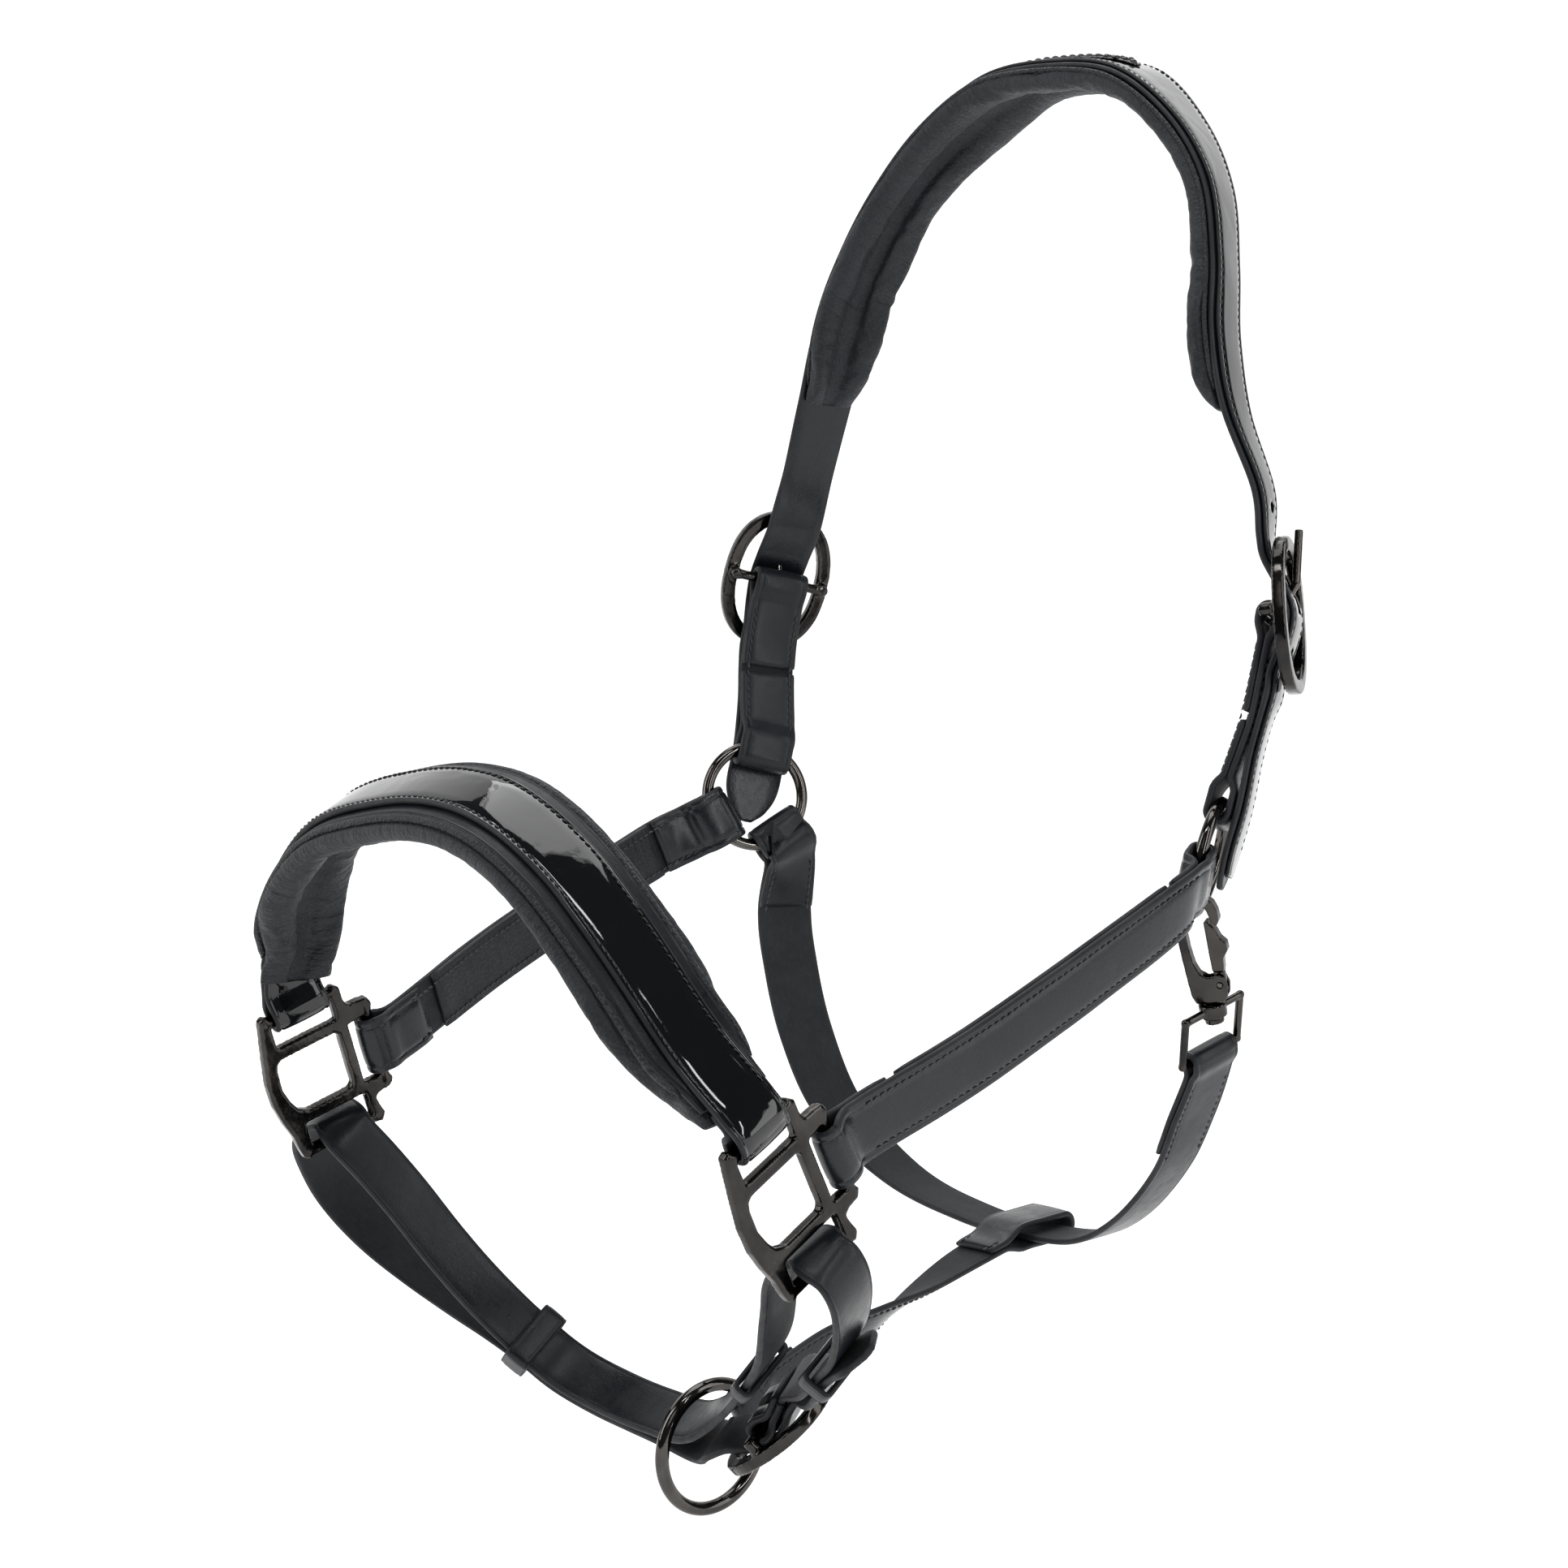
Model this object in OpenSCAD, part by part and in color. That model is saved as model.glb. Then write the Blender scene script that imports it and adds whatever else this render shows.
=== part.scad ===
/* [Straps] */
// Width of the cheek, throat, chin and jaw straps
strap_w = 22; // [20:0.5:23]
// Thickness of one layer of strap leather
leather_t = 2.3; // [1.8:0.1:2.5]
// Thickness of the patent strip along the crown
patent_t = 1.3; // [1:0.1:1.35]
// Width of the noseband's backing
nose_backing_w = 32; // [26:1:34]
// Width of the noseband's padded lining at the middle
nose_pad_w = 40; // [34:1:42]
// Thickness of the noseband pad
nose_pad_t = 7; // [5:0.5:8]
// Thickness of the crown pad
crown_pad_t = 7; // [5:0.5:7]
// Width of the chin strap
chin_w = 20; // [18:0.5:20.5]

/* [Rings] */
// Outer diameter of the two jaw rings
jaw_ring_d = 44; // [43:0.5:45]
// Wire diameter of the jaw rings
jaw_wire = 4.5; // [4:0.1:4.6]
// Outer diameter of the lead ring
lead_ring_d = 50; // [49:0.5:51]
// Wire diameter of the lead ring
lead_wire = 5; // [4.5:0.1:5.1]

/* [Square fittings] */
// Opening of the square fittings, front to back
square_open = 23; // [21:0.5:24]
// Diameter of the bars that the straps fold round
bar_d = 4.4; // [4:0.1:4.5]

/* [Buckles] */
// Overall width of a crown buckle
buckle_w = 44; // [40:1:46]
// Overall length of a crown buckle
buckle_l = 56; // [54:1:58]
// Overall width of the chin buckle
chin_buckle_w = 38; // [36:1:40]
// Overall length of the chin buckle
chin_buckle_l = 50; // [48:1:52]

/* [Snap hook] */
// Thickness of the snap hook's body
snap_t = 4.6; // [4:0.2:5]
// Width of the snap's strap loop over its wires
snap_loop_w = 31; // [30:0.5:32]

/* [Hidden] */
$fn = 32;
eps = 0.01;
black = "#1c1d21";
glossy = "#0b0c10";
soft = "#26272b";
metal = "#4a4846";

// ---- vectors and curves -------------------------------------------------
function unit(v) = v / norm(v);
function xyz(r) = [r[0], r[1], r[2]];
function wv(r) = [r[3], r[4], r[5]];
function flat(l) = [for (a = l) for (b = a) b];
function rev(l) = [for (i = [len(l)-1:-1:0]) l[i]];
// a row is [x, y, z, wx, wy, wz, width]: a point, the way across, the width
function row(p, w, b) = [p[0], p[1], p[2], w[0], w[1], w[2], b];
function cr(p, i, t) = let(n = len(p)-1,
    a = i > 0 ? p[i-1] : 2*p[0]-p[1], b = p[i], c = p[i+1],
    d = i+2 <= n ? p[i+2] : 2*p[n]-p[n-1])
  0.5*(2*b + (c-a)*t + (2*a-5*b+4*c-d)*t*t + (3*b-a-3*c+d)*t*t*t);
function smooth(p, m) = concat([for (i = [0:len(p)-2]) for (k = [0:m-1]) cr(p, i, k/m)], [p[len(p)-1]]);
function tang(q, i) = unit(xyz(q[min(i+1, len(q)-1)]) - xyz(q[max(i-1, 0)]));
function across(q, i) = let(t = tang(q, i), w = wv(q[i])) unit(w - (w*t)*t);
function outw(q, i) = cross(tang(q, i), across(q, i));
function runs(q, i=0, s=0) = i >= len(q) ? [] :
  let(s2 = i == 0 ? 0 : s + norm(xyz(q[i])-xyz(q[i-1]))) concat([s2], runs(q, i+1, s2));
function mir(r) = [-r[0], r[1], r[2], -r[3], r[4], r[5], r[6]];
// the same rows pushed outwards by d, with dw added to the width
function shift(q, d, dw=0) = [for (i = [0:len(q)-1]) row(xyz(q[i]) + d*outw(q, i), across(q, i), q[i][6]+dw)];
// eases a strap's two sides from a loop's half thickness to flat
function ease(s, s0, s1) = s < s0 ? 1 : s > s1 ? 0 : (1+cos(180*(s-s0)/(s1-s0)))/2;

// closed solid swept along rows, from a to b off their surface
module ribbon(q, a, b, dw=0) {
  n = len(q);
  v = flat([for (i = [0:n-1]) let(c = xyz(q[i]), w = across(q, i)*(q[i][6]+dw)/2, o = outw(q, i))
    [c+w+a*o, c+w+b*o, c-w+b*o, c-w+a*o]]);
  f = concat([[0,1,2],[0,2,3]], [[4*n-4,4*n-2,4*n-3],[4*n-4,4*n-1,4*n-2]],
    flat([for (i = [0:n-2]) flat([for (k = [0:3]) let(a1 = 4*i+k, a2 = 4*i+(k+1)%4)
      k == 3 ? [[a1,a1+4,a2],[a1+4,a2+4,a2]] : [[a1,a1+4,a2+4],[a1,a2+4,a2]]])]));
  polyhedron(v, f, convexity = 8);
}
// padded lining: two rolls with a shallow channel between them
module roll_pad(q, t) {
  n = len(q);
  pr = [[-0.5,0],[-0.5,-0.55],[-0.40,-1],[-0.24,-0.9],[-0.12,-0.6],[0.12,-0.6],[0.24,-0.9],[0.40,-1],[0.5,-0.55],[0.5,0]];
  m = len(pr);
  v = flat([for (i = [0:n-1]) let(c = xyz(q[i]), w = across(q, i)*q[i][6], o = outw(q, i),
      e = i == 0 || i == n-1 ? 0.45 : 1)
    [for (k = [0:m-1]) c - w*pr[k][0] + o*t*e*pr[k][1]]]);
  f = concat([for (k = [1:m-2]) [0,k+1,k]], [for (k = [1:m-2]) [(n-1)*m,(n-1)*m+k,(n-1)*m+k+1]],
    flat([for (i = [0:n-2]) flat([for (k = [0:m-1]) let(a1 = m*i+k, a2 = m*i+(k+1)%m)
      k == m-1 ? [[a1,a2,a1+m],[a2,a2+m,a1+m]] : [[a1,a2+m,a1+m],[a1,a2,a2+m]]])]));
  polyhedron(v, f, convexity = 8);
}
// path of a strap that folds round a bar at one or both ends.
// q: middle surface from bar to bar; r: clear radius round the bar;
// k: length held open; e: where it has closed; l: lay-back length (0 = no fold)
function folded(q, t, g, r0, k0, e0, l0, r1, k1, e1, l1) =
  let(n = len(q), s = runs(q), L = s[n-1], hb = (t+g)/2, R0 = r0+t/2, R1 = r1+t/2,
    h = [for (i = [0:n-1]) hb + (l0 > 0 ? (R0-hb)*ease(s[i], k0, e0) : 0) + (l1 > 0 ? (R1-hb)*ease(L-s[i], k1, e1) : 0)],
    o0 = outw(q, 0), t0 = tang(q, 0), o1 = outw(q, n-1), t1 = tang(q, n-1),
    back0 = l0 > 0 ? rev([for (i = [1:n-1]) if (s[i] <= l0) row(xyz(q[i])-outw(q, i)*h[i], wv(q[i]), q[i][6])]) : [],
    arc0 = l0 > 0 ? [for (f = [180:-30:30]) row(xyz(q[0])+R0*(o0*cos(f)-t0*sin(f)), wv(q[0]), q[0][6])] : [],
    main = [for (i = [0:n-1]) row(xyz(q[i])+outw(q, i)*h[i], wv(q[i]), q[i][6])],
    arc1 = l1 > 0 ? [for (f = [30:30:180]) row(xyz(q[n-1])+R1*(o1*cos(f)+t1*sin(f)), wv(q[n-1]), q[n-1][6])] : [],
    back1 = l1 > 0 ? rev([for (i = [0:n-2]) if (L-s[i] <= l1) row(xyz(q[i])-outw(q, i)*h[i], wv(q[i]), q[i][6])]) : [])
  concat(back0, arc0, main, arc1, back1);
// the stretch of lining between the two lay-backs
function between(q, l0, l1) = let(s = runs(q), L = s[len(q)-1]) [for (i = [0:len(q)-1]) if (s[i] > l0 && L-s[i] > l1) q[i]];
module at_frame(c, x, y, z) multmatrix([[x[0],y[0],z[0],c[0]],[x[1],y[1],z[1],c[1]],[x[2],y[2],z[2],c[2]],[0,0,0,1]]) children();

// ---- reference points ---------------------------------------------------
// left is the horse's left (+X), the face points to -Y
W = strap_w;
T = leather_t;
G = 0.1;
fold_r = bar_d/2 + 0.3;
// square fittings: centre, front-to-back and upward directions
SQC = [[120,-275,-357], [-120,-273,-354]];
SQP = [unit([0,0.89,0.46]), unit([0.18,0.93,0.33])];
SQU = [unit([0,-0.46,0.89]), unit(cross(unit(cross([0.18,0.93,0.33],[0.06,-0.35,0.94])), [0.18,0.93,0.33]))];
top_u = 26.5;
rear_p = 24.5;
low_u = -27.3;
low_p = 2.5;
function sq(k, p, u) = SQC[k] + SQP[k]*p + SQU[k]*u;
// jaw rings
function ringc(k) = [k == 0 ? 114 : -114, -58, -274];
function fwd(k) = unit([k == 0 ? 0.45 : -0.45, -0.89, 0]);
UP = [0,0,1];
// the rings lean out at the top by ring_lean
ring_lean = 12;
function ro(k) = unit([k == 0 ? 0.89 : -0.89, 0.45, 0]);
function ru(k) = UP*cos(ring_lean) + ro(k)*sin(ring_lean);
jr = (jaw_ring_d-jaw_wire)/2;
ring_fold = 15.7;
ring_in = jaw_wire/2 + 0.35;
// crown buckles, left one: bar centre and directions
BKC = [123,-35,-190];
BKU = unit([-0.20,0.14,0.97]);
BKW = unit([-0.46,0.88,0] - ([-0.46,0.88,0]*BKU)*BKU);
BKN = cross(-BKU, BKW);
// left ring: outward normal, and the way its buckle strap leaves it
RO = ro(0)*cos(ring_lean) - UP*sin(ring_lean);
RB = ru(0)*0.965 - fwd(0)*0.262;
BLW = -fwd(0)*0.965 - ru(0)*0.262;
function bk(y, z) = BKC + BKU*y + BKN*z;

// ---- strap courses ------------------------------------------------------
// crown, from the poll down the left side to the billet's tip
crown_half = [
  row([0,0,8.8], [0,1,0], 36),
  row([30,-1,5], [-0.1,1,0], 35),
  row([58,-6,-14], [-0.18,0.96,-0.1], 31),
  row([78,-13,-38], [-0.26,0.95,-0.15], 27),
  row([89,-22,-66], [-0.31,0.95,-0.15], 26),
  row([95,-29,-92], [-0.27,0.95,-0.15], 26),
  row([102,-31,-118], [-0.24,0.95,-0.2], 24),
  row(bk(46,-1), [-0.33,0.92,-0.15], W),
  row(bk(28,-1.2), BKW, W),
  row(bk(20,-0.2), BKW, W),
  row(bk(10,4.1), BKW, W),
  row(bk(0,6.9), BKW, W),
  row(bk(-10,4.4), BKW, W),
  row(bk(-20,-0.2), BKW, W),
  row(bk(-28,-1.8), BKW, W),
  row([125,-42,-226.3], [-0.47,0.87,-0.1], W),
  row([123,-44.4,-238.5], [-0.48,0.85,-0.18], W),
  row(ringc(0)+RO*7.4+RB*20, BLW, W),
  row(ringc(0)+RO*7.2+RB*4, BLW, W),
  row(ringc(0)+RO*7.2+RB*-5, BLW, 15),
  row(ringc(0)+RO*7.2+RB*-10, BLW, 5)];
crown_q = concat([for (i = [len(crown_half)-1:-1:1]) mir(crown_half[i])], crown_half);
crown_rows = smooth(crown_q, 2);
pad_half = [
  row([0,0,8.8], [0,1,0], 45),
  row([30,-1,5], [-0.1,1,0], 43),
  row([58,-6,-14], [-0.18,0.96,-0.1], 36),
  row([78,-13,-38], [-0.26,0.95,-0.15], 29),
  row([89,-22,-66], [-0.31,0.95,-0.15], 28),
  row([95,-29,-92], [-0.27,0.95,-0.15], 28),
  row([102,-31,-118], [-0.24,0.95,-0.2], 20)];
pad_q = concat([for (i = [len(pad_half)-1:-1:1]) mir(pad_half[i])], pad_half);

// noseband, from the right square over the nose to the left square
nose_q = [
  row(sq(1,0,top_u), SQP[1], W),
  row(sq(1,0,top_u+9), SQP[1], W),
  row([-116,-286,-304], [0.05,0.9,0.42], W),
  row([-109,-291,-285], [0,0.9,0.43], W),
  row([-94,-295,-267.5], [0,0.9,0.43], W),
  row([-72,-298,-252], [0,0.9,0.43], W),
  row([-42,-300,-243], [0,0.9,0.43], W),
  row([-10,-301,-238.5], [0,0.9,0.43], W),
  row([20,-302,-242], [0,0.9,0.43], W),
  row([48,-301,-256], [0,0.9,0.43], W),
  row([73,-299,-278], [0,0.9,0.44], W),
  row([98,-294,-307], [0,0.9,0.45], W),
  row(sq(0,0,top_u+9), SQP[0], W),
  row(sq(0,0,top_u), SQP[0], W)];
nose_rows = smooth(nose_q, 3);
nose_len = runs(nose_rows)[len(nose_rows)-1];
function nose_part(e0) = let(s = runs(nose_rows)) [for (i = [0:len(nose_rows)-1]) if (s[i] > e0 && nose_len-s[i] > e0)
  let(e = 1-ease(min(s[i], nose_len-s[i]), 18, 60), r = nose_rows[i]) row(xyz(r), across(nose_rows, i), 26 + e*(nose_pad_w-26))];

// cheek straps, square to ring
function cheek_dir(k) = k == 0 ? fwd(0)*0.966 - ru(0)*0.259 : fwd(1)*0.891 - ru(1)*0.454;
function cheek_q(k) = let(x = k == 0 ? 1 : -1, d = cheek_dir(k), a = sq(k,rear_p,0), w = unit(ru(k)-(ru(k)*d)*d))
  [ row(a, SQU[k], W),
    row(sq(k,rear_p+13,0), SQU[k], W),
    row(a*0.55 + [130*x,-106,-293]*0.45, [0,-0.4,0.91], W),
    row([130*x,-106,k == 0 ? -290 : -296], [0.1*x,-0.36,0.92], W),
    row(ringc(k)+d*30+[2*x,0,0], w, W),
    row(ringc(k)+d*22, w, W),
    row(ringc(k)+d*ring_fold, w, W)];
function cheek_rows(k) = k == 0 ? smooth(cheek_q(0), 4) : rev(smooth(cheek_q(1), 4));

// straps that hold the crown buckles, buckle to ring
bstrap_q = [
  row(BKC, BKW, W),
  row(bk(-10,-2.4), BKW, W),
  row(bk(-22,-5.6), BKW, W),
  row([121,-44,-225], [-0.47,0.87,-0.1], W),
  row([118.4,-46.7,-237], [-0.48,0.85,-0.18], W),
  row(ringc(0)+RB*27, BLW, W),
  row(ringc(0)+RB*21, BLW, W),
  row(ringc(0)+RB*ring_fold, BLW, W)];
bstrap_rows = smooth(bstrap_q, 3);

// throat strap, right ring under the throat to the snap's loop
SNR = ringc(0) - ru(0)*jr;
SNU = unit([-0.01,-0.26,0.96]);
SNT = SNR - SNU*38;
SNA = unit([-0.12,-0.99,-0.05] - ([-0.12,-0.99,-0.05]*SNU)*SNU);
SND = unit([-0.28,0.22,-0.93] - ([-0.28,0.22,-0.93]*SNA)*SNA);
loop_l = 19;
SNB = SNT + SND*loop_l;
throat_q = [
  row(ringc(1) + (-fwd(1)*0.5 - ru(1)*0.866)*ring_fold, fwd(1)*0.866 - ru(1)*0.5, W),
  row(ringc(1) + (-fwd(1)*0.5 - ru(1)*0.866)*21, fwd(1)*0.866 - ru(1)*0.5, W),
  row(ringc(1) + (-fwd(1)*0.5 - ru(1)*0.866)*27, fwd(1)*0.866 - ru(1)*0.5, W),
  row([-111,-44,-322], [-0.6,-0.8,-0.25], W),
  row([-112,-40,-343], [-0.6,-0.85,-0.1], W),
  row([-109,-34,-372], [-0.55,-0.85,0], W),
  row([-95,-29,-402], [-0.4,-0.9,0], W),
  row([-64,-24,-425], [-0.15,-1,0], W),
  row([-28,-21,-434.8], [0,-1,0], W),
  row([2,-20,-436.4], [0,-1,0], W),
  row([32,-22,-432.5], [0,-1,0], W),
  row([58,-28,-417.5], [0,-1,0], W),
  row([79.5,-33,-395], [0,-1,0], W),
  row([93,-38,-373], [-0.08,-1,-0.03], W),
  row(SNB+SND*7, SNA, W),
  row(SNB, SNA, W)];
throat_rows = smooth(throat_q, 3);

// lead ring and jaw strap
LRC = [0,-192,-484];
LRH = unit([0.08,1,0]);
lr = (lead_ring_d-lead_wire)/2;
LRD = LRH*0.883 + UP*0.469;
jaw_w = 19;
jaw_q = [
  row(LRC+LRD*18.9, UP*0.883-LRH*0.469, jaw_w),
  row(LRC+LRD*25, UP*0.883-LRH*0.469, jaw_w),
  row(LRC+LRD*32, UP*0.883-LRH*0.469, jaw_w),
  row([3,-138,-460], [0.1,-0.2,0.97], jaw_w),
  row([3,-112,-454], [0.6,-0.15,0.8], jaw_w),
  row([1,-86,-448], [0.95,-0.05,0.35], jaw_w),
  row([0,-58,-441], [1,0,0.05], jaw_w),
  row([0,-34,-436.6], [1,0,0], jaw_w),
  row([0,-21,-436.4], [1,0,0], jaw_w),
  row([0,-8.6,-436.4], [1,0,0], jaw_w)];
jaw_rows = smooth(jaw_q, 3);

// chin strap: its course lies near one leaning plane, as [x, s, o]
CHO = [0,-262,-380];
CHS = unit([0,0.576,-0.817]);
CHW = [0,-0.817,-0.576];
function ch(x, s, o=0) = CHO + [x,0,0] + CHS*s + CHW*o;
chin_t = 2.6;
// chin buckle's bar; its tongue points to the lead ring
CBU = unit([-0.82,-0.03,-0.57]);
CBW = unit(CHW - (CHW*CBU)*CBU);
CBN = cross(CBW, CBU);
CBC = [35,-198,-463];
function cb(y, z) = CBC + CBU*y + CBN*z;
function chr(x, s, o=0) = row(ch(x, s, o), CHW, chin_w);
chin_q = [
  row(cb(0,0), CBW, chin_w),
  row(cb(-10,-2.4), CBW, chin_w),
  row(cb(-22,-7.2), CBW, chin_w),
  chr(77,69,-4), chr(97,50.5), chr(111,38), chr(122,23), chr(129,9), chr(130,-1), chr(126,-4.8),
  row(sq(0,low_p,low_u+6.4), -SQP[0], chin_w),
  chr(111,-1.5), chr(103,7), chr(96,18), chr(88,30), chr(73,52), chr(55,71), chr(30,94,1),
  chr(3,112.5,2.7), chr(-20,117,1.5), chr(-48,116.5), chr(-68,109), chr(-80,97), chr(-92,77), chr(-100,52), chr(-104,28), chr(-109,10), chr(-114,-2.6),
  row(sq(1,low_p,low_u+6), -SQP[1], chin_w),
  chr(-129,-6.4,-2.5), chr(-137,0), chr(-144,14), chr(-147,32), chr(-141,51), chr(-126,67), chr(-108,79),
  chr(-93,88), chr(-80.4,97.4), chr(-68.4,109.5), chr(-48.2,117.2), chr(-20,118.8,1.5), chr(0,121,2.7),
  row(cb(26,-3.2), CBW, chin_w),
  row(cb(18,-1.8), CBW, chin_w),
  row(cb(9,2.8), CBW, chin_w),
  row(cb(0,5.5), CBW, chin_w),
  row(cb(-9,2.8), CBW, chin_w),
  row(cb(-18,-1.8), CBW, chin_w),
  row(cb(-26,-3.2), CBW, chin_w),
  chr(79,73,-4), chr(99.1,52.8), chr(108,45.6), chr(115,41), row(ch(119,39), CHW, 12), row(ch(121.5,38), CHW, 5)];
chin_rows = smooth(chin_q, 2);

// ---- leather ------------------------------------------------------------
module billet_slots() {
  for (m = [0,1]) mirror([m,0,0]) at_frame(BKC, BKW, BKU, BKN) {
    translate([0,7.5,5]) cube([4.8,15,12], center = true);
    translate([0,-14,2]) cylinder(d = 4.6, h = 12, center = true);
    translate([0,39,-1]) cylinder(d = 4.6, h = 12, center = true);
  }
}
module crown_strap() color(black) difference() {
  ribbon(crown_rows, -1.7, 0.5);
  billet_slots();
}
module crown_patent_strip() color(glossy) difference() {
  ribbon([for (i = [2:len(crown_rows)-3]) crown_rows[i]], 0.8, 0.8+patent_t, -4);
  billet_slots();
}
module crown_pad() color(soft) {
  p = smooth(pad_q, 2); n = len(p); j = (len(crown_rows)-n)/2;
  roll_pad(shift([for (i = [0:n-1]) row(xyz(crown_rows[i+j]), across(crown_rows, i+j), p[i][6])], -2.3), crown_pad_t);
}
module crown_inlay() color(metal) {
  n = len(crown_rows); c = (n-1)/2;
  a = [for (k = [-8:8]) let(x = k/8, p = cr(crown_q, (len(crown_q)-1)/2-1 + (k < 0 ? 0 : 1), k < 0 ? 1+x : x*0.999)) row(xyz(p), wv(p), 15*sqrt(1.06-x*x))];
  ribbon(a, 1.1+patent_t, 2+patent_t);
}
module buckle_strap() color(black) difference() {
  l = runs(bstrap_rows)[len(bstrap_rows)-1];
  ribbon(folded(bstrap_rows, T, G, 2.3, 2, 10, l/2, 2.6, 6.9, 15, l/2-0.4), -T/2, T/2);
  at_frame(BKC, BKW, BKU, BKN) translate([0,-1,0]) cube([6.4,17,14], center = true);
}
module buckle_strap_left() buckle_strap();
module buckle_strap_right() mirror([1,0,0]) buckle_strap();
// a leather loop across straps: iw x it clear inside, l long
module keeper(c, w, d, iw, it, l, th=1.8) {
  y = unit(d); x = unit(w-(w*y)*y);
  color(black) at_frame(c, x, y, cross(x,y)) difference() {
    cube([iw+2*th, l, it+2*th], center = true);
    cube([iw, l+1, it], center = true);
  }
}
module cheek(k) color(black) {
  q = cheek_rows(k);
  if (k == 0) ribbon(folded(q, T, G, fold_r, 1.5, 10, 28, 2.6, 6.9, 16, 30), -T/2, T/2);
  else ribbon(folded(q, T, G, 2.6, 6.9, 16, 30, fold_r, 1.5, 10, 28), -T/2, T/2);
}
module cheek_strap_left() cheek(0);
module cheek_strap_right() cheek(1);
module cheek_lining_left() color(soft) ribbon(between(cheek_rows(0), 28.4, 30.4), -T-0.05, -0.05);
module cheek_lining_right() color(soft) ribbon(between(cheek_rows(1), 30.4, 28.4), -T-0.05, -0.05);
module noseband_patent_strap() color(glossy)
  ribbon(folded(nose_rows, T, G, fold_r, 1.5, 10, 15, fold_r, 1.5, 10, 15), -T/2, T/2);
module noseband_backing() color(soft)
  ribbon([for (r = nose_part(15.5)) row(xyz(r), wv(r), min(r[6], nose_backing_w))], -2.3, -0.05);
module noseband_pad() color(soft) roll_pad(shift(nose_part(11), -2.6), nose_pad_t);
module throat_strap() color(black)
  ribbon(folded(throat_rows, T, G, 2.6, 6.9, 16, 38, 1.8, 1.5, 8, 48), -T/2, T/2);
module jaw_strap() color(black)
  ribbon(folded(jaw_rows, T, G, 2.85, 6.6, 16, 30, 3.2, 24.5, 36, 46), -T/2, T/2);
module chin_strap() color(black) difference() {
  ribbon(folded(chin_rows, chin_t, G, 2.3, 2, 10, 20, 0, 0, 0, 0), -chin_t/2, chin_t/2);
  at_frame(CBC, CBW, CBU, CBN) {
    translate([0,-1,-0.5]) cube([6.4,17,12.5], center = true);
    translate([0,7.5,7]) cube([4.8,15,9], center = true);
  }
}
module chin_keeper_far() keeper(ch(-80.2,97.2), CHW, ch(-71,107.6)-ch(-89.4,86.6), chin_w+1.6, 9.6, 10);
module chin_keeper_near() keeper(ch(54.2,70), CHW, ch(73,52)-ch(36,89), chin_w+1, 4, 8);
module chin_keeper_buckle() keeper(ch(98.9,52.6), CHW, ch(108,42.5)-ch(88,60), chin_w+1.2, 8.2, 8);

// ---- rings and squares --------------------------------------------------
module torus(r, w) rotate_extrude($fn = 72) translate([r,0]) circle(d = w, $fn = 24);
module jaw_ring(k) color(metal) at_frame(ringc(k), fwd(k), ru(k), cross(fwd(k), ru(k))) torus(jr, jaw_wire);
module jaw_ring_left() jaw_ring(0);
module jaw_ring_right() jaw_ring(1);
module lead_ring() color(metal) at_frame(LRC, LRH, UP, cross(LRH, UP)) torus(lr, lead_wire);
module square_plate() {
  o = square_open/2;
  q = 12.2;
  linear_extrude(4, center = true) difference() {
    polygon([[-16,28.6],[-13.6,29.6],[-12.2,28],[-12.3,24],[-12.4,16.2],[q,16.2],[q,24],[q,28],[14.6,29.2],[16.8,27.4],
      [16.8,22],[18,19.4],[22,19.4],[26,18.8],[27.2,16],[25.8,12.6],[20,q],[16,q],[16,-q],[20,-q],[25.8,-12.6],
      [27.4,-15.4],[25.6,-18],[21,-18.4],[18.6,-19.6],[19.4,-23.4],[20.6,-27],[18.8,-29.6],[16.2,-29.2],[15.2,-26],
      [15,-20],[14.8,-16],[-10.2,-16],[-10,-22],[-10.4,-28],[-12,-29.8],[-14.2,-29],[-15.2,-25],[-16,-19.6],
      [-18.2,-13],[-20,-5],[-20.2,4],[-18.8,13],[-17.4,21]]);
    polygon([[-o-3.2,8],[-o-2.4,10.4],[-o-0.6,o],[o-1.4,o],[o,o-1.4],[o,-o+1.4],[o-1.4,-o],[-o+4,-o],[-o+0.4,-o+2],[-o-1.8,-o+6],[-o-3.4,0]]);
  }
}
module square_fitting(k) color(metal) at_frame(SQC[k], SQP[k], SQU[k], cross(SQP[k], SQU[k])) {
  square_plate();
  translate([-14,top_u,0]) rotate([0,90,0]) cylinder(d = bar_d, h = 29);
  translate([-12.5,low_u,0]) rotate([0,90,0]) cylinder(d = bar_d, h = 31);
  translate([rear_p,-15.5,0]) rotate([-90,0,0]) cylinder(d = bar_d, h = 32);
}
module square_left() square_fitting(0);
module square_right() square_fitting(1);

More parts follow.
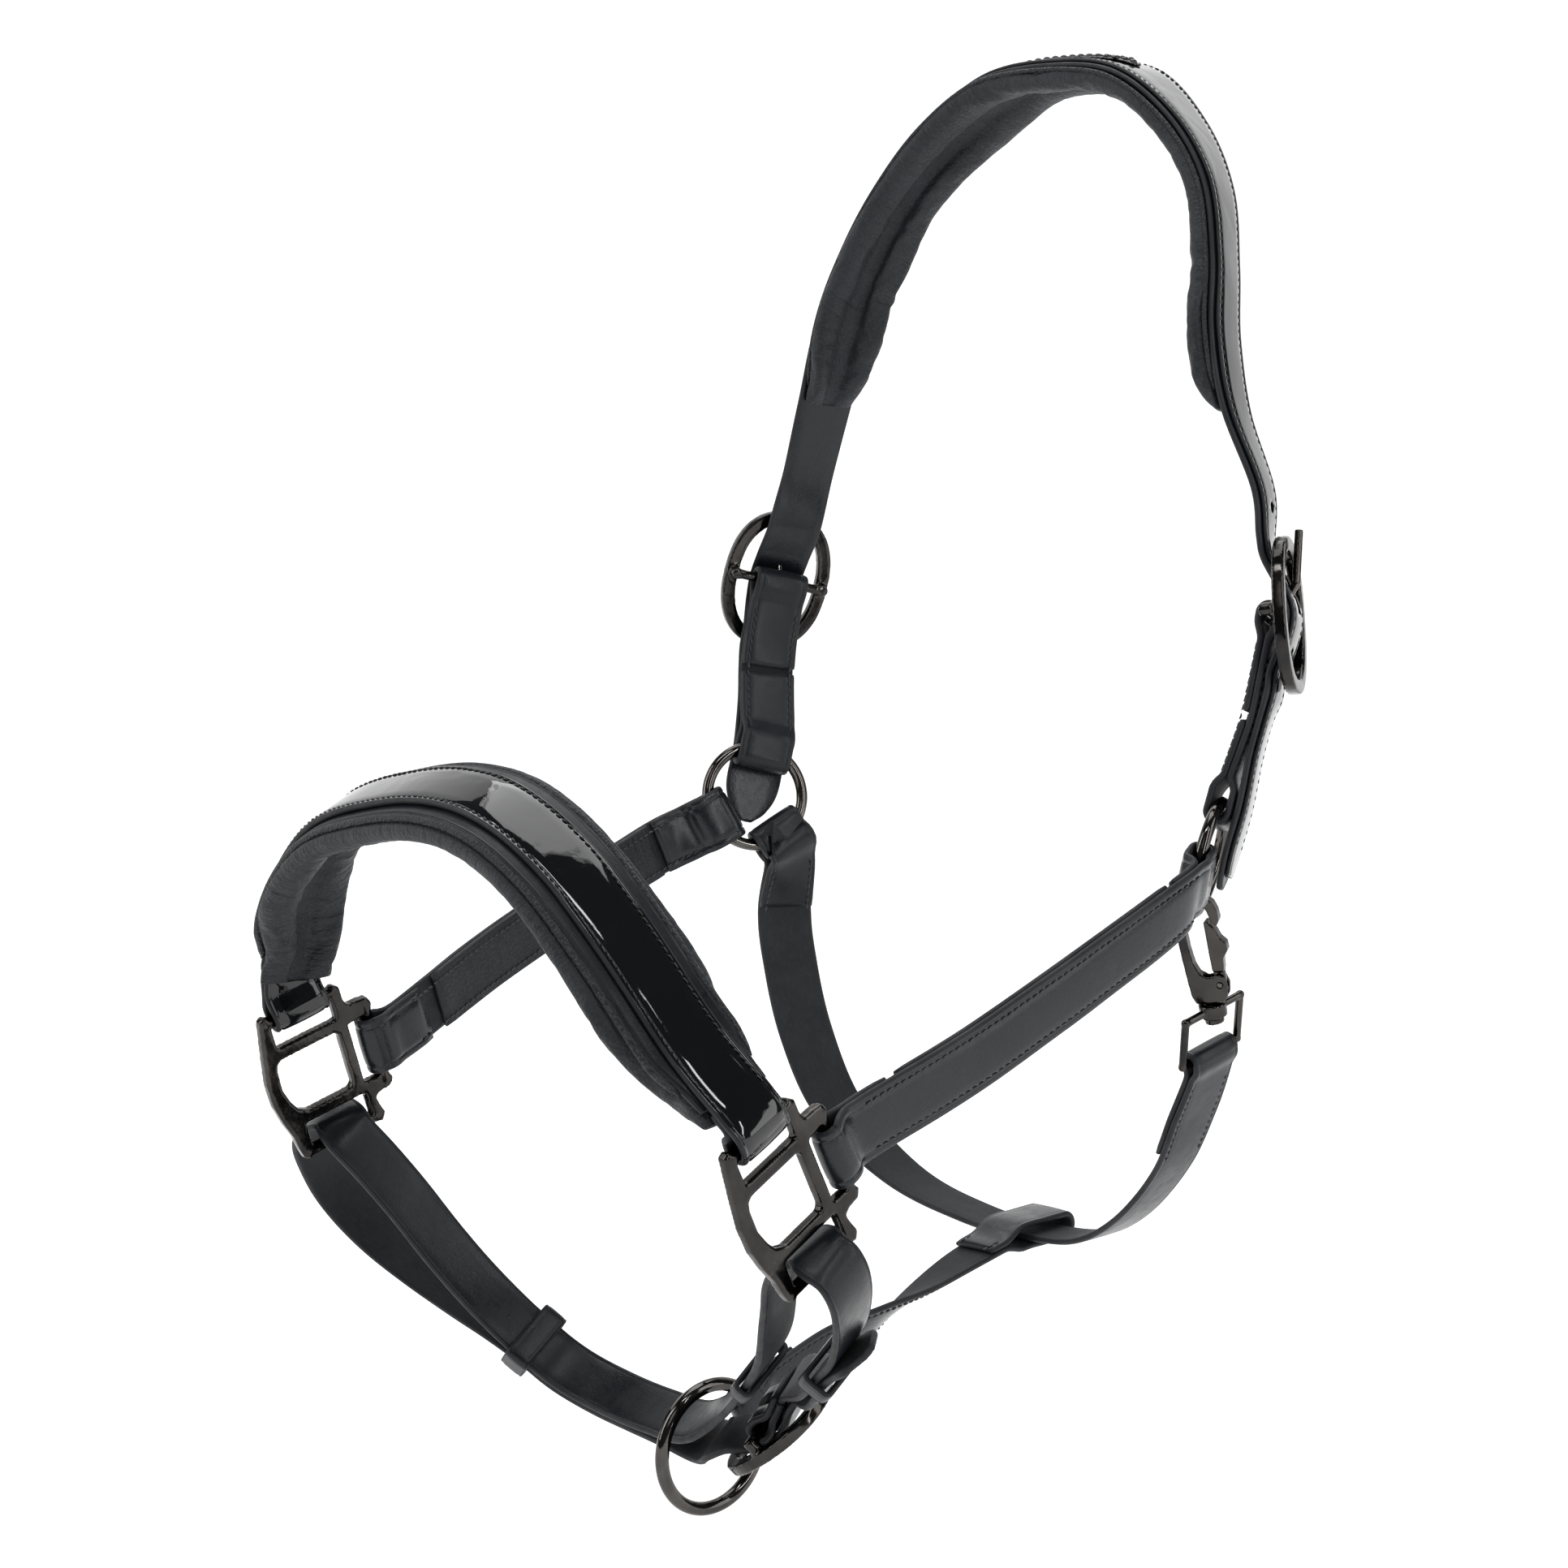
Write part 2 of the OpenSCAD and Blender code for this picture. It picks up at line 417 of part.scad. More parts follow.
// ---- buckles ------------------------------------------------------------
function oval(a, b) = [for (i = [0:47]) let(c = cos(i*7.5), s = sin(i*7.5))
  [a*sign(c)*pow(abs(c), 0.86), b*sign(s)*pow(abs(s), 0.86)]];
module frame(w, l) {
  translate([0,0,5.5]) linear_extrude(4.5, center = true) difference() {
    polygon(oval(w/2, l/2));
    polygon(oval(w/2-5.3, l/2-5.3));
  }
  rotate([0,90,0]) cylinder(d = 4, h = w-7, center = true);
  for (x = [-1,1]) translate([x*(w/2-3.6),0,-1.9]) cylinder(d = 4.8, h = 7);
}
module tongue(l) {
  difference() {
    rotate([0,90,0]) cylinder(d = 6.8, h = 5, center = true);
    rotate([0,90,0]) cylinder(d = 4.1, h = 6, center = true);
  }
  a = atan2(6.4, 9.6); b = atan2(2.1, l-10.6);
  translate([0,1.6,2.3]) rotate([a-90,0,0]) cylinder(d = 3, h = norm([6.4,9.6]));
  translate([0,11.2,8.7]) sphere(d = 3.2);
  translate([0,11.2,8.7]) rotate([b-90,0,0]) cylinder(d = 3, h = norm([2.1,l-10.6]));
}
module crown_buckle_left() color(metal) at_frame(BKC, BKW, BKU, BKN) frame(buckle_w, buckle_l);
module crown_buckle_right() color(metal) mirror([1,0,0]) at_frame(BKC, BKW, BKU, BKN) frame(buckle_w, buckle_l);
module crown_tongue_left() color(metal) at_frame(BKC, BKW, BKU, BKN) tongue(buckle_l/2+1.5);
module crown_tongue_right() color(metal) mirror([1,0,0]) at_frame(BKC, BKW, BKU, BKN) tongue(buckle_l/2+1.5);
module chin_buckle() color(metal) at_frame(CBC, CBW, CBU, CBN) frame(chin_buckle_w, chin_buckle_l);
module chin_tongue() color(metal) at_frame(CBC, CBW, CBU, CBN) tongue(chin_buckle_l/2+1.5);

// ---- snap hook ----------------------------------------------------------
SNX = unit(RO - (RO*SNU)*SNU);
SNZ = cross(SNX, SNU);
piv = [4.6, 10];
module snap_loop() color(metal) {
  hw = (snap_loop_w-3)/2;
  corners = [SNT+SNA*hw, SNB+SNA*hw, SNB-SNA*hw, SNT-SNA*hw];
  difference() {
    union() {
      for (c = corners) translate(c) sphere(d = 3.4);
      for (i = [0:3]) let(a = corners[i], b = corners[(i+1)%4], d = unit(b-a), x = unit(cross(d, [0.3,0.2,1])))
        at_frame(a, x, cross(d, x), d) cylinder(d = 3, h = norm(b-a));
      at_frame(SNT, SNX, SNZ*-1, SNU) cylinder(d = 10, h = 5, center = true);
    }
    at_frame(SNT, SNX, SNZ*-1, SNU) cylinder(d = 4.4, h = 12, center = true);
  }
}
module snap_body() color(metal) at_frame(SNT, SNX, SNU, SNZ) {
  rotate([-90,0,0]) translate([0,0,-4.5]) cylinder(d = 4.2, h = 8.5);
  rotate([-90,0,0]) translate([0,0,-5]) cylinder(d = 7, h = 2.2);
  difference() {
    linear_extrude(snap_t, center = true) polygon([
      [-5,2.9],[5,2.9],[7,6],[7.6,10],[6.6,13],[4.6,14],[2.4,13.2],[0,13],[-2.4,14.6],[-3.8,18],[-4.6,24],[-4.9,30],[-4.8,36],
      [-3.8,39.4],[-1.8,41.2],[0,41.6],[2,41],[3.8,39],[4.6,36],[4.9,33.8],[7,32.6],[8,34.6],[7.8,38],[6.6,41.4],[4,44],[0,45.2],
      [-4,44],[-6.8,41],[-8,37],[-8.2,30],[-7.8,22],[-7,12],[-6.4,6]]);
    translate([piv[0],piv[1]+1,0]) cube([12,9.4,2.9], center = true);
    translate([piv[0],piv[1],0]) cylinder(r = 1.04, h = 10, center = true);
  }
}
module snap_gate() color(metal) at_frame(SNT, SNX, SNU, SNZ) {
  difference() {
    union() {
      linear_extrude(2.3, center = true) polygon([[2.6,8.4],[4.4,7.6],[6.4,8.4],[6.9,11],[6.9,17],[2.6,17]]);
      linear_extrude(snap_t-0.2, center = true) polygon([[2.6,15.2],[6.9,15.2],[7.4,20],[9.4,23],[9.2,26],[7.2,28],[6.4,30.4],[5.7,31.7],[4.1,33.1],[3.6,34.6],[2.2,34.2],[2.3,28],[2.5,20]]);
    }
    translate([piv[0],piv[1],0]) cylinder(r = 1.05, h = 10, center = true);
  }
}
module snap_gate_pin() color(metal) at_frame(SNT, SNX, SNU, SNZ) translate([piv[0],piv[1],0]) cylinder(r = 1, h = snap_t+0.4, center = true);

crown_strap();
crown_patent_strip();
crown_pad();
crown_inlay();
crown_buckle_left();
crown_buckle_right();
crown_tongue_left();
crown_tongue_right();
buckle_strap_left();
buckle_strap_right();
jaw_ring_left();
jaw_ring_right();
cheek_strap_left();
cheek_strap_right();
cheek_lining_left();
cheek_lining_right();
square_left();
square_right();
noseband_patent_strap();
noseband_backing();
noseband_pad();
throat_strap();
snap_loop();
snap_body();
snap_gate();
snap_gate_pin();
jaw_strap();
lead_ring();
chin_strap();
chin_buckle();
chin_tongue();
chin_keeper_far();
chin_keeper_near();
chin_keeper_buckle();
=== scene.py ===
import bpy, bmesh, math, random
import numpy as np
from mathutils import Vector, Matrix, noise


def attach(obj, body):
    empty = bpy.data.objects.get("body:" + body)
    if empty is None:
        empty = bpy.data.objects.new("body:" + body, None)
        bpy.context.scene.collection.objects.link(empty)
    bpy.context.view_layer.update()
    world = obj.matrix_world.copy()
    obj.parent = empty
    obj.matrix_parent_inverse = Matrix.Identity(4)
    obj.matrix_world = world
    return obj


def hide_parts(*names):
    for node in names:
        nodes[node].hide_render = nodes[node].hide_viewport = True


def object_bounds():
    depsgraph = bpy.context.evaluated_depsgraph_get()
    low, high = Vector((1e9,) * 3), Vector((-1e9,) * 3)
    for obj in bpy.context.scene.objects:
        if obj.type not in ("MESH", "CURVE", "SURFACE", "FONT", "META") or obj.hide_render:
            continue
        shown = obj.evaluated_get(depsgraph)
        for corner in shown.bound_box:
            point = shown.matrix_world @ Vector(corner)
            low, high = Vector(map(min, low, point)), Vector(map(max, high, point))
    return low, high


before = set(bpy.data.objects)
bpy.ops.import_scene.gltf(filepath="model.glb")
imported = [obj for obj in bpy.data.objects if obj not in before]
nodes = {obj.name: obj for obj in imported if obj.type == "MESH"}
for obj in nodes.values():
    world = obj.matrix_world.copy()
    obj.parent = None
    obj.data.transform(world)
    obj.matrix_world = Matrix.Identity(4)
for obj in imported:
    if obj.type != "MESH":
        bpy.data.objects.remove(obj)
cad_lo, cad_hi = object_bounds()
random.seed(7)
rng = np.random.default_rng(7)

# ------------------------------------------------------------------ camera
back = np.array([.70106, -.70106, .13053]); right = np.array([.70711, .70711, 0.0])
back /= np.linalg.norm(back); up = np.cross(back, right); up /= np.linalg.norm(up)
cam_data = bpy.data.cameras.new("camera"); cam_data.lens = 76.4; cam_data.sensor_width = 36.0
cam_data.clip_start = 0.01; cam_data.clip_end = 50
cam = bpy.data.objects.new("camera", cam_data)
bpy.context.scene.collection.objects.link(cam)
m = Matrix.Identity(4)
for i in range(3):
    m[i][0], m[i][1], m[i][2] = right[i], up[i], back[i]
m[0][3], m[1][3], m[2][3] = 0.82725, -0.9828, -0.0955
cam.matrix_world = m
bpy.context.scene.camera = cam
bpy.context.scene.view_settings.view_transform = "Standard"

# ------------------------------------------------------------------ vectors and curves, in mm
def unit(v):
    v = np.array(v, float)
    return v/np.linalg.norm(v)

def A(*v):
    return np.array(v, float)

def row(p, w, b):
    return np.array([p[0], p[1], p[2], w[0], w[1], w[2], b], float)

def smooth(p, m):
    p = np.array(p, float); n = len(p)-1; out = []
    for i in range(n):
        a = p[i-1] if i > 0 else 2*p[0]-p[1]
        b = p[i]; c = p[i+1]
        d = p[i+2] if i+2 <= n else 2*p[n]-p[n-1]
        for k in range(m):
            t = k/m
            out.append(0.5*(2*b+(c-a)*t+(2*a-5*b+4*c-d)*t*t+(3*b-a-3*c+d)*t**3))
    out.append(p[n])
    return np.array(out)

def axes(q, closed=False):
    P = q[:, :3]
    if closed:
        T = np.roll(P, -1, 0)-np.roll(P, 1, 0)
    else:
        T = np.vstack([P[1]-P[0], P[2:]-P[:-2], P[-1]-P[-2]])
    T /= np.linalg.norm(T, axis=1)[:, None]
    W = q[:, 3:6]-T*np.sum(q[:, 3:6]*T, 1)[:, None]
    W /= np.linalg.norm(W, axis=1)[:, None]
    return P, T, W, np.cross(T, W)

def runs(q):
    return np.concatenate([[0], np.cumsum(np.linalg.norm(np.diff(q[:, :3], axis=0), axis=1))])

def mir(r):
    return np.array([-r[0], r[1], r[2], -r[3], r[4], r[5], r[6]])

def shift(q, d, dw=0):
    P, T, W, O = axes(q)
    return np.column_stack([P+d*O, W, q[:, 6]+dw])

def ease(s, s0, s1):
    return 1.0 if s < s0 else 0.0 if s > s1 else (1+math.cos(math.pi*(s-s0)/(s1-s0)))/2

def folded(q, t, g, r0, k0, e0, l0, r1, k1, e1, l1):
    P, T, W, O = axes(q); s = runs(q); L = s[-1]; n = len(q)
    hb = (t+g)/2; R0 = r0+t/2; R1 = r1+t/2
    h = [hb+((R0-hb)*ease(s[i], k0, e0) if l0 > 0 else 0)+((R1-hb)*ease(L-s[i], k1, e1) if l1 > 0 else 0) for i in range(n)]
    rw = lambda p, i: np.concatenate([p, q[i, 3:7]])
    out = []
    if l0 > 0:
        out += [rw(P[i]-O[i]*h[i], i) for i in range(n-1, 0, -1) if s[i] <= l0]
        out += [rw(P[0]+R0*(O[0]*math.cos(math.radians(f))-T[0]*math.sin(math.radians(f))), 0) for f in range(180, 0, -12)]
    out += [rw(P[i]+O[i]*h[i], i) for i in range(n)]
    if l1 > 0:
        out += [rw(P[-1]+R1*(O[-1]*math.cos(math.radians(f))+T[-1]*math.sin(math.radians(f))), n-1) for f in range(12, 192, 12)]
        out += [rw(P[i]-O[i]*h[i], i) for i in range(n-2, -1, -1) if L-s[i] <= l1]
    return np.array(out)

def part_of(q, l0, l1):
    s = runs(q); L = s[-1]
    return np.array([q[i] for i in range(len(q)) if s[i] > l0 and L-s[i] > l1])

# ------------------------------------------------------------------ reference points, as in the CAD source
W_, T_, G_ = 22.0, 2.3, 0.1
fold_r = 2.5
SQC = [A(120, -275, -357), A(-120, -273, -354)]
SQP = [unit([0, .89, .46]), unit([.18, .93, .33])]
SQU = [unit([0, -.46, .89]), unit(np.cross(unit(np.cross([.18, .93, .33], [.06, -.35, .94])), [.18, .93, .33]))]
top_u, rear_p, low_u, low_p = 26.5, 24.5, -27.3, 2.5
def sq(k, p, u): return SQC[k]+SQP[k]*p+SQU[k]*u
def ringc(k): return A(114 if k == 0 else -114, -58, -274)
def fwd(k): return unit([.45 if k == 0 else -.45, -.89, 0])
UP = A(0, 0, 1)
LEAN = math.radians(12)
def ro(k): return unit([.89 if k == 0 else -.89, .45, 0])
def ru(k): return UP*math.cos(LEAN)+ro(k)*math.sin(LEAN)
jr = (44-4.5)/2
ring_fold = 15.7
BKC = A(123, -35, -190)
BKU = unit([-.20, .14, .97])
BKW = unit(A(-.46, .88, 0)-(A(-.46, .88, 0)@BKU)*BKU)
BKN = np.cross(-BKU, BKW)
RO = ro(0)*math.cos(LEAN)-UP*math.sin(LEAN)
RB = ru(0)*.965-fwd(0)*.262
BLW = -fwd(0)*.965-ru(0)*.262
def bk(y, z): return BKC+BKU*y+BKN*z

crown_half = [
    row([0, 0, 8.8], [0, 1, 0], 36), row([30, -1, 5], [-.1, 1, 0], 35), row([58, -6, -14], [-.18, .96, -.1], 31),
    row([78, -13, -38], [-.26, .95, -.15], 27), row([89, -22, -66], [-.31, .95, -.15], 26), row([95, -29, -92], [-.27, .95, -.15], 26),
    row([102, -31, -118], [-.24, .95, -.2], 24), row(bk(46, -1), [-.33, .92, -.15], W_), row(bk(28, -1.2), BKW, W_),
    row(bk(20, -.2), BKW, W_), row(bk(10, 4.1), BKW, W_), row(bk(0, 6.9), BKW, W_), row(bk(-10, 4.4), BKW, W_),
    row(bk(-20, -.2), BKW, W_), row(bk(-28, -1.8), BKW, W_), row([125, -42, -226.3], [-.47, .87, -.1], W_),
    row([123, -44.4, -238.5], [-.48, .85, -.18], W_), row(ringc(0)+RO*7.4+RB*20, BLW, W_), row(ringc(0)+RO*7.2+RB*4, BLW, W_),
    row(ringc(0)+RO*7.2+RB*-5, BLW, 15), row(ringc(0)+RO*7.2+RB*-10, BLW, 5)]
crown_q = [mir(r) for r in crown_half[:0:-1]]+crown_half
crown_rows = smooth(crown_q, 8)
pad_w = [45, 43, 36, 29, 28, 28, 20]
pad_q = [mir(row(crown_half[i][:3], crown_half[i][3:6], pad_w[i])) for i in range(6, 0, -1)]+[row(crown_half[i][:3], crown_half[i][3:6], pad_w[i]) for i in range(7)]
pad_rows = smooth(pad_q, 16)

nose_q = [
    row(sq(1, 0, top_u), SQP[1], W_), row(sq(1, 0, top_u+9), SQP[1], W_), row([-116, -286, -304], [.05, .9, .42], W_),
    row([-109, -291, -285], [0, .9, .43], W_), row([-94, -295, -267.5], [0, .9, .43], W_), row([-72, -298, -252], [0, .9, .43], W_),
    row([-42, -300, -243], [0, .9, .43], W_), row([-10, -301, -238.5], [0, .9, .43], W_), row([20, -302, -242], [0, .9, .43], W_),
    row([48, -301, -256], [0, .9, .43], W_), row([73, -299, -278], [0, .9, .44], W_), row([98, -294, -307], [0, .9, .45], W_),
    row(sq(0, 0, top_u+9), SQP[0], W_), row(sq(0, 0, top_u), SQP[0], W_)]
nose_rows = smooth(nose_q, 10)
def nose_part(e0, wide=40):
    s = runs(nose_rows); L = s[-1]; P, T, W, O = axes(nose_rows); out = []
    for i in range(len(s)):
        if s[i] > e0 and L-s[i] > e0:
            e = 1-ease(min(s[i], L-s[i]), 18, 60)
            out.append(np.concatenate([P[i], W[i], [26+e*(wide-26)]]))
    return np.array(out)

def cheek_dir(k): return fwd(0)*.966-ru(0)*.259 if k == 0 else fwd(1)*.891-ru(1)*.454
def cheek_q(k):
    x = 1 if k == 0 else -1; d = cheek_dir(k); a = sq(k, rear_p, 0); w = unit(ru(k)-(ru(k)@d)*d)
    return [row(a, SQU[k], W_), row(sq(k, rear_p+13, 0), SQU[k], W_),
            row(a*.55+A(130*x, -106, -293)*.45, [0, -.4, .91], W_),
            row([130*x, -106, -290 if k == 0 else -296], [.1*x, -.36, .92], W_),
            row(ringc(k)+d*30+A(2*x, 0, 0), w, W_), row(ringc(k)+d*22, w, W_), row(ringc(k)+d*ring_fold, w, W_)]
def cheek_rows(k):
    q = smooth(cheek_q(k), 12)
    return q if k == 0 else q[::-1]

bstrap_q = [row(BKC, BKW, W_), row(bk(-10, -2.4), BKW, W_), row(bk(-22, -5.6), BKW, W_), row([121, -44, -225], [-.47, .87, -.1], W_),
            row([118.4, -46.7, -237], [-.48, .85, -.18], W_), row(ringc(0)+RB*27, BLW, W_), row(ringc(0)+RB*21, BLW, W_), row(ringc(0)+RB*ring_fold, BLW, W_)]
bstrap_rows = smooth(bstrap_q, 9)

SNR = ringc(0)-ru(0)*jr
SNU = unit([-.01, -.26, .96])
SNT = SNR-SNU*38
SNA = unit(A(-.12, -.99, -.05)-(A(-.12, -.99, -.05)@SNU)*SNU)
SND = unit(A(-.28, .22, -.93)-(A(-.28, .22, -.93)@SNA)*SNA)
SNB = SNT+SND*19
fd = -fwd(1)*.5-ru(1)*.866; fw = fwd(1)*.866-ru(1)*.5
throat_q = [row(ringc(1)+fd*ring_fold, fw, W_), row(ringc(1)+fd*21, fw, W_), row(ringc(1)+fd*27, fw, W_),
            row([-111, -44, -322], [-.6, -.8, -.25], W_), row([-112, -40, -343], [-.6, -.85, -.1], W_), row([-109, -34, -372], [-.55, -.85, 0], W_),
            row([-95, -29, -402], [-.4, -.9, 0], W_), row([-64, -24, -425], [-.15, -1, 0], W_), row([-28, -21, -434.8], [0, -1, 0], W_),
            row([2, -20, -436.4], [0, -1, 0], W_), row([32, -22, -432.5], [0, -1, 0], W_), row([58, -28, -417.5], [0, -1, 0], W_),
            row([79.5, -33, -395], [0, -1, 0], W_), row([93, -38, -373], [-.08, -1, -.03], W_), row(SNB+SND*7, SNA, W_), row(SNB, SNA, W_)]
throat_rows = smooth(throat_q, 9)

LRC = A(0, -192, -484)
LRH = unit([.08, 1, 0])
LRD = LRH*.883+UP*.469
LRW = UP*.883-LRH*.469
jaw_w = 19.0
jaw_q = [row(LRC+LRD*18.9, LRW, jaw_w), row(LRC+LRD*25, LRW, jaw_w), row(LRC+LRD*32, LRW, jaw_w), row([3, -138, -460], [.1, -.2, .97], jaw_w),
         row([3, -112, -454], [.6, -.15, .8], jaw_w), row([1, -86, -448], [.95, -.05, .35], jaw_w), row([0, -58, -441], [1, 0, .05], jaw_w),
         row([0, -34, -436.6], [1, 0, 0], jaw_w), row([0, -21, -436.4], [1, 0, 0], jaw_w), row([0, -8.6, -436.4], [1, 0, 0], jaw_w)]
jaw_rows = smooth(jaw_q, 9)

CHO = A(0, -262, -380); CHS = unit([0, .576, -.817]); CHW = A(0, -.817, -.576)
def ch(x, s, o=0): return CHO+A(x, 0, 0)+CHS*s+CHW*o
chin_w, chin_t = 20.0, 2.6
CBU = unit([-.82, -.03, -.57]); CBW = unit(CHW-(CHW@CBU)*CBU); CBN = np.cross(CBW, CBU); CBC = A(35, -198, -463)
def cb(y, z): return CBC+CBU*y+CBN*z
def chr_(x, s, o=0): return row(ch(x, s, o), CHW, chin_w)
chin_q = [row(cb(0, 0), CBW, chin_w), row(cb(-10, -2.4), CBW, chin_w), row(cb(-22, -7.2), CBW, chin_w),
          chr_(77, 69, -4), chr_(97, 50.5), chr_(111, 38), chr_(122, 23), chr_(129, 9), chr_(130, -1), chr_(126, -4.8),
          row(sq(0, low_p, low_u+6.4), -SQP[0], chin_w),
          chr_(111, -1.5), chr_(103, 7), chr_(96, 18), chr_(88, 30), chr_(73, 52), chr_(55, 71), chr_(30, 94, 1),
          chr_(3, 112.5, 2.7), chr_(-20, 117, 1.5), chr_(-48, 116.5), chr_(-68, 109), chr_(-80, 97), chr_(-92, 77), chr_(-100, 52), chr_(-104, 28), chr_(-109, 10), chr_(-114, -2.6),
          row(sq(1, low_p, low_u+6), -SQP[1], chin_w),
          chr_(-129, -6.4, -2.5), chr_(-137, 0), chr_(-144, 14), chr_(-147, 32), chr_(-141, 51), chr_(-126, 67), chr_(-108, 79),
          chr_(-93, 88), chr_(-80.4, 97.4), chr_(-68.4, 109.5), chr_(-48.2, 117.2), chr_(-20, 118.8, 1.5), chr_(0, 121, 2.7),
          row(cb(26, -3.2), CBW, chin_w), row(cb(18, -1.8), CBW, chin_w), row(cb(9, 2.8), CBW, chin_w), row(cb(0, 5.5), CBW, chin_w),
          row(cb(-9, 2.8), CBW, chin_w), row(cb(-18, -1.8), CBW, chin_w), row(cb(-26, -3.2), CBW, chin_w),
          chr_(79, 73, -4), chr_(99.1, 52.8), chr_(108, 45.6), chr_(115, 41), row(ch(119, 39), CHW, 12), row(ch(121.5, 38), CHW, 5)]
chin_rows = smooth(chin_q, 6)

# ------------------------------------------------------------------ materials
class Mat:
    def __init__(self, name):
        self.m = bpy.data.materials.new(name); self.m.use_nodes = True
        self.t = self.m.node_tree
        self.b = next(n for n in self.t.nodes if n.type == "BSDF_PRINCIPLED")
        self.co = self.node("ShaderNodeTexCoord")
    def node(self, kind, **kw):
        n = self.t.nodes.new(kind)
        for k, v in kw.items():
            if hasattr(n, k) and not k[0].isupper():
                setattr(n, k, v)
            else:
                n.inputs[k.replace("_", " ")].default_value = v
        return n
    def link(self, a, b):
        self.t.links.new(a, b)
    def mapped(self, src, scale):
        mp = self.node("ShaderNodeMapping"); mp.inputs["Scale"].default_value = scale
        self.link(self.co.outputs[src], mp.inputs["Vector"]); return mp.outputs[0]
    def noise(self, scale, detail=3, rough=.55, vec=None, distort=0):
        n = self.node("ShaderNodeTexNoise"); n.inputs["Scale"].default_value = scale
        n.inputs["Detail"].default_value = detail; n.inputs["Roughness"].default_value = rough
        n.inputs["Distortion"].default_value = distort
        self.link(vec or self.co.outputs["Object"], n.inputs["Vector"]); return n.outputs["Fac"]
    def vor(self, scale, feature="F1", vec=None):
        n = self.node("ShaderNodeTexVoronoi"); n.feature = feature; n.inputs["Scale"].default_value = scale
        self.link(vec or self.co.outputs["Object"], n.inputs["Vector"]); return n.outputs["Distance"]
    def rng(self, v, a, b, lo=0., hi=1.):
        n = self.node("ShaderNodeMapRange")
        self.link(v, n.inputs["Value"])
        for k, x in (("From Min", lo), ("From Max", hi), ("To Min", a), ("To Max", b)):
            n.inputs[k].default_value = x
        return n.outputs["Result"]
    def math(self, op, a, b):
        n = self.node("ShaderNodeMath"); n.operation = op
        for i, x in enumerate((a, b)):
            if isinstance(x, (int, float)): n.inputs[i].default_value = x
            else: self.link(x, n.inputs[i])
        return n.outputs[0]
    def mix(self, f, a, b):
        n = self.node("ShaderNodeMix"); n.data_type = "RGBA"
        self.link(f, n.inputs["Factor"])
        for s, c in (("A", a), ("B", b)):
            i = [x for x in n.inputs if x.name == s and x.type == "RGBA"][0]
            if isinstance(c, tuple): i.default_value = (*c, 1)
            else: self.link(c, i)
        return [x for x in n.outputs if x.type == "RGBA"][0]
    def bump(self, h, dist, strength=1., prev=None):
        n = self.node("ShaderNodeBump"); n.inputs["Strength"].default_value = strength; n.inputs["Distance"].default_value = dist
        self.link(h, n.inputs["Height"])
        if prev: self.link(prev, n.inputs["Normal"])
        return n.outputs[0]
    def set(self, **kw):
        for k, v in kw.items():
            self.b.inputs[k.replace("_", " ")].default_value = v
    def out(self, color=None, rough=None, normal=None, coat_normal=None):
        if color: self.link(color, self.b.inputs["Base Color"])
        if rough: self.link(rough, self.b.inputs["Roughness"])
        if normal: self.link(normal, self.b.inputs["Normal"])
        if coat_normal: self.link(coat_normal, self.b.inputs["Coat Normal"])
        return self.m

def smooth_leather(name="bridle_leather", c0=(.0045, .0055, .0075), c1=(.0105, .0125, .016), rough=(.26, .44), coat=.08, spec=.22):
    m = Mat(name)
    blotch = m.noise(16, 4, .6)
    fine = m.noise(260, 3)
    col = m.mix(m.rng(blotch, 0, 1, .35, .7), c0, c1)
    wear = m.noise(70, 5, .7, m.mapped("Object", (1, 1, 2.2)), 1.2)
    col = m.mix(m.rng(wear, 0, .55, .62, .8), col, (.022, .024, .027))
    r = m.math("ADD", m.rng(blotch, rough[0], rough[1], .3, .7), m.rng(fine, -.05, .05, .3, .7))
    pores = m.vor(1500); crease = m.noise(420, 4, .6, None, .6)
    n = m.bump(pores, .00007, .5); n = m.bump(crease, .00016, .5, n)
    n = m.bump(m.noise(34, 2), .0011, .5, n)
    m.set(Coat_Weight=coat, Coat_Roughness=.22, Specular_IOR_Level=spec)
    return m.out(col, r, n)

def patent_leather():
    m = Mat("patent_leather")
    col = m.mix(m.rng(m.noise(20, 3), 0, 1, .3, .7), (.0016, .0018, .0022), (.0036, .004, .0046))
    r = m.rng(m.noise(180, 3), .035, .085, .35, .7)
    n = m.bump(m.noise(48, 2, .5, None, .8), .0011, .42)
    n = m.bump(m.noise(700, 2), .00002, .5, n)
    m.set(Coat_Weight=.55, Coat_Roughness=.03, Specular_IOR_Level=.28)
    return m.out(col, r, n)

def soft_leather(name="grained_leather", pleat=.00055, c0=(.0085, .0095, .0115), c1=(.019, .021, .025), scale=1.):
    m = Mat(name)
    uv = m.mapped("UV", (26, 300, 1))
    pl = m.noise(1.0, 3, .6, uv, .9)
    grain = m.vor(820*scale, "F1", None); g2 = m.noise(1500*scale, 3, .6)
    cell = m.math("MULTIPLY", m.rng(grain, 1, 0, 0, .75), m.rng(g2, .55, 1, .3, .7))
    col = m.mix(m.rng(m.noise(30, 4), 0, 1, .3, .7), c0, c1)
    col = m.mix(m.rng(cell, 0, .5, .2, 1), col, (.030, .032, .037))
    r = m.math("ADD", m.rng(cell, .56, .40), m.rng(m.noise(40, 3), -.05, .06, .3, .7))
    n = m.bump(m.rng(pl, 0, 1, .3, .7), pleat, .75)
    n = m.bump(cell, .00028, .8, n)
    m.set(Specular_IOR_Level=.24, Sheen_Weight=.02, Sheen_Roughness=.5)
    return m.out(col, r, n)

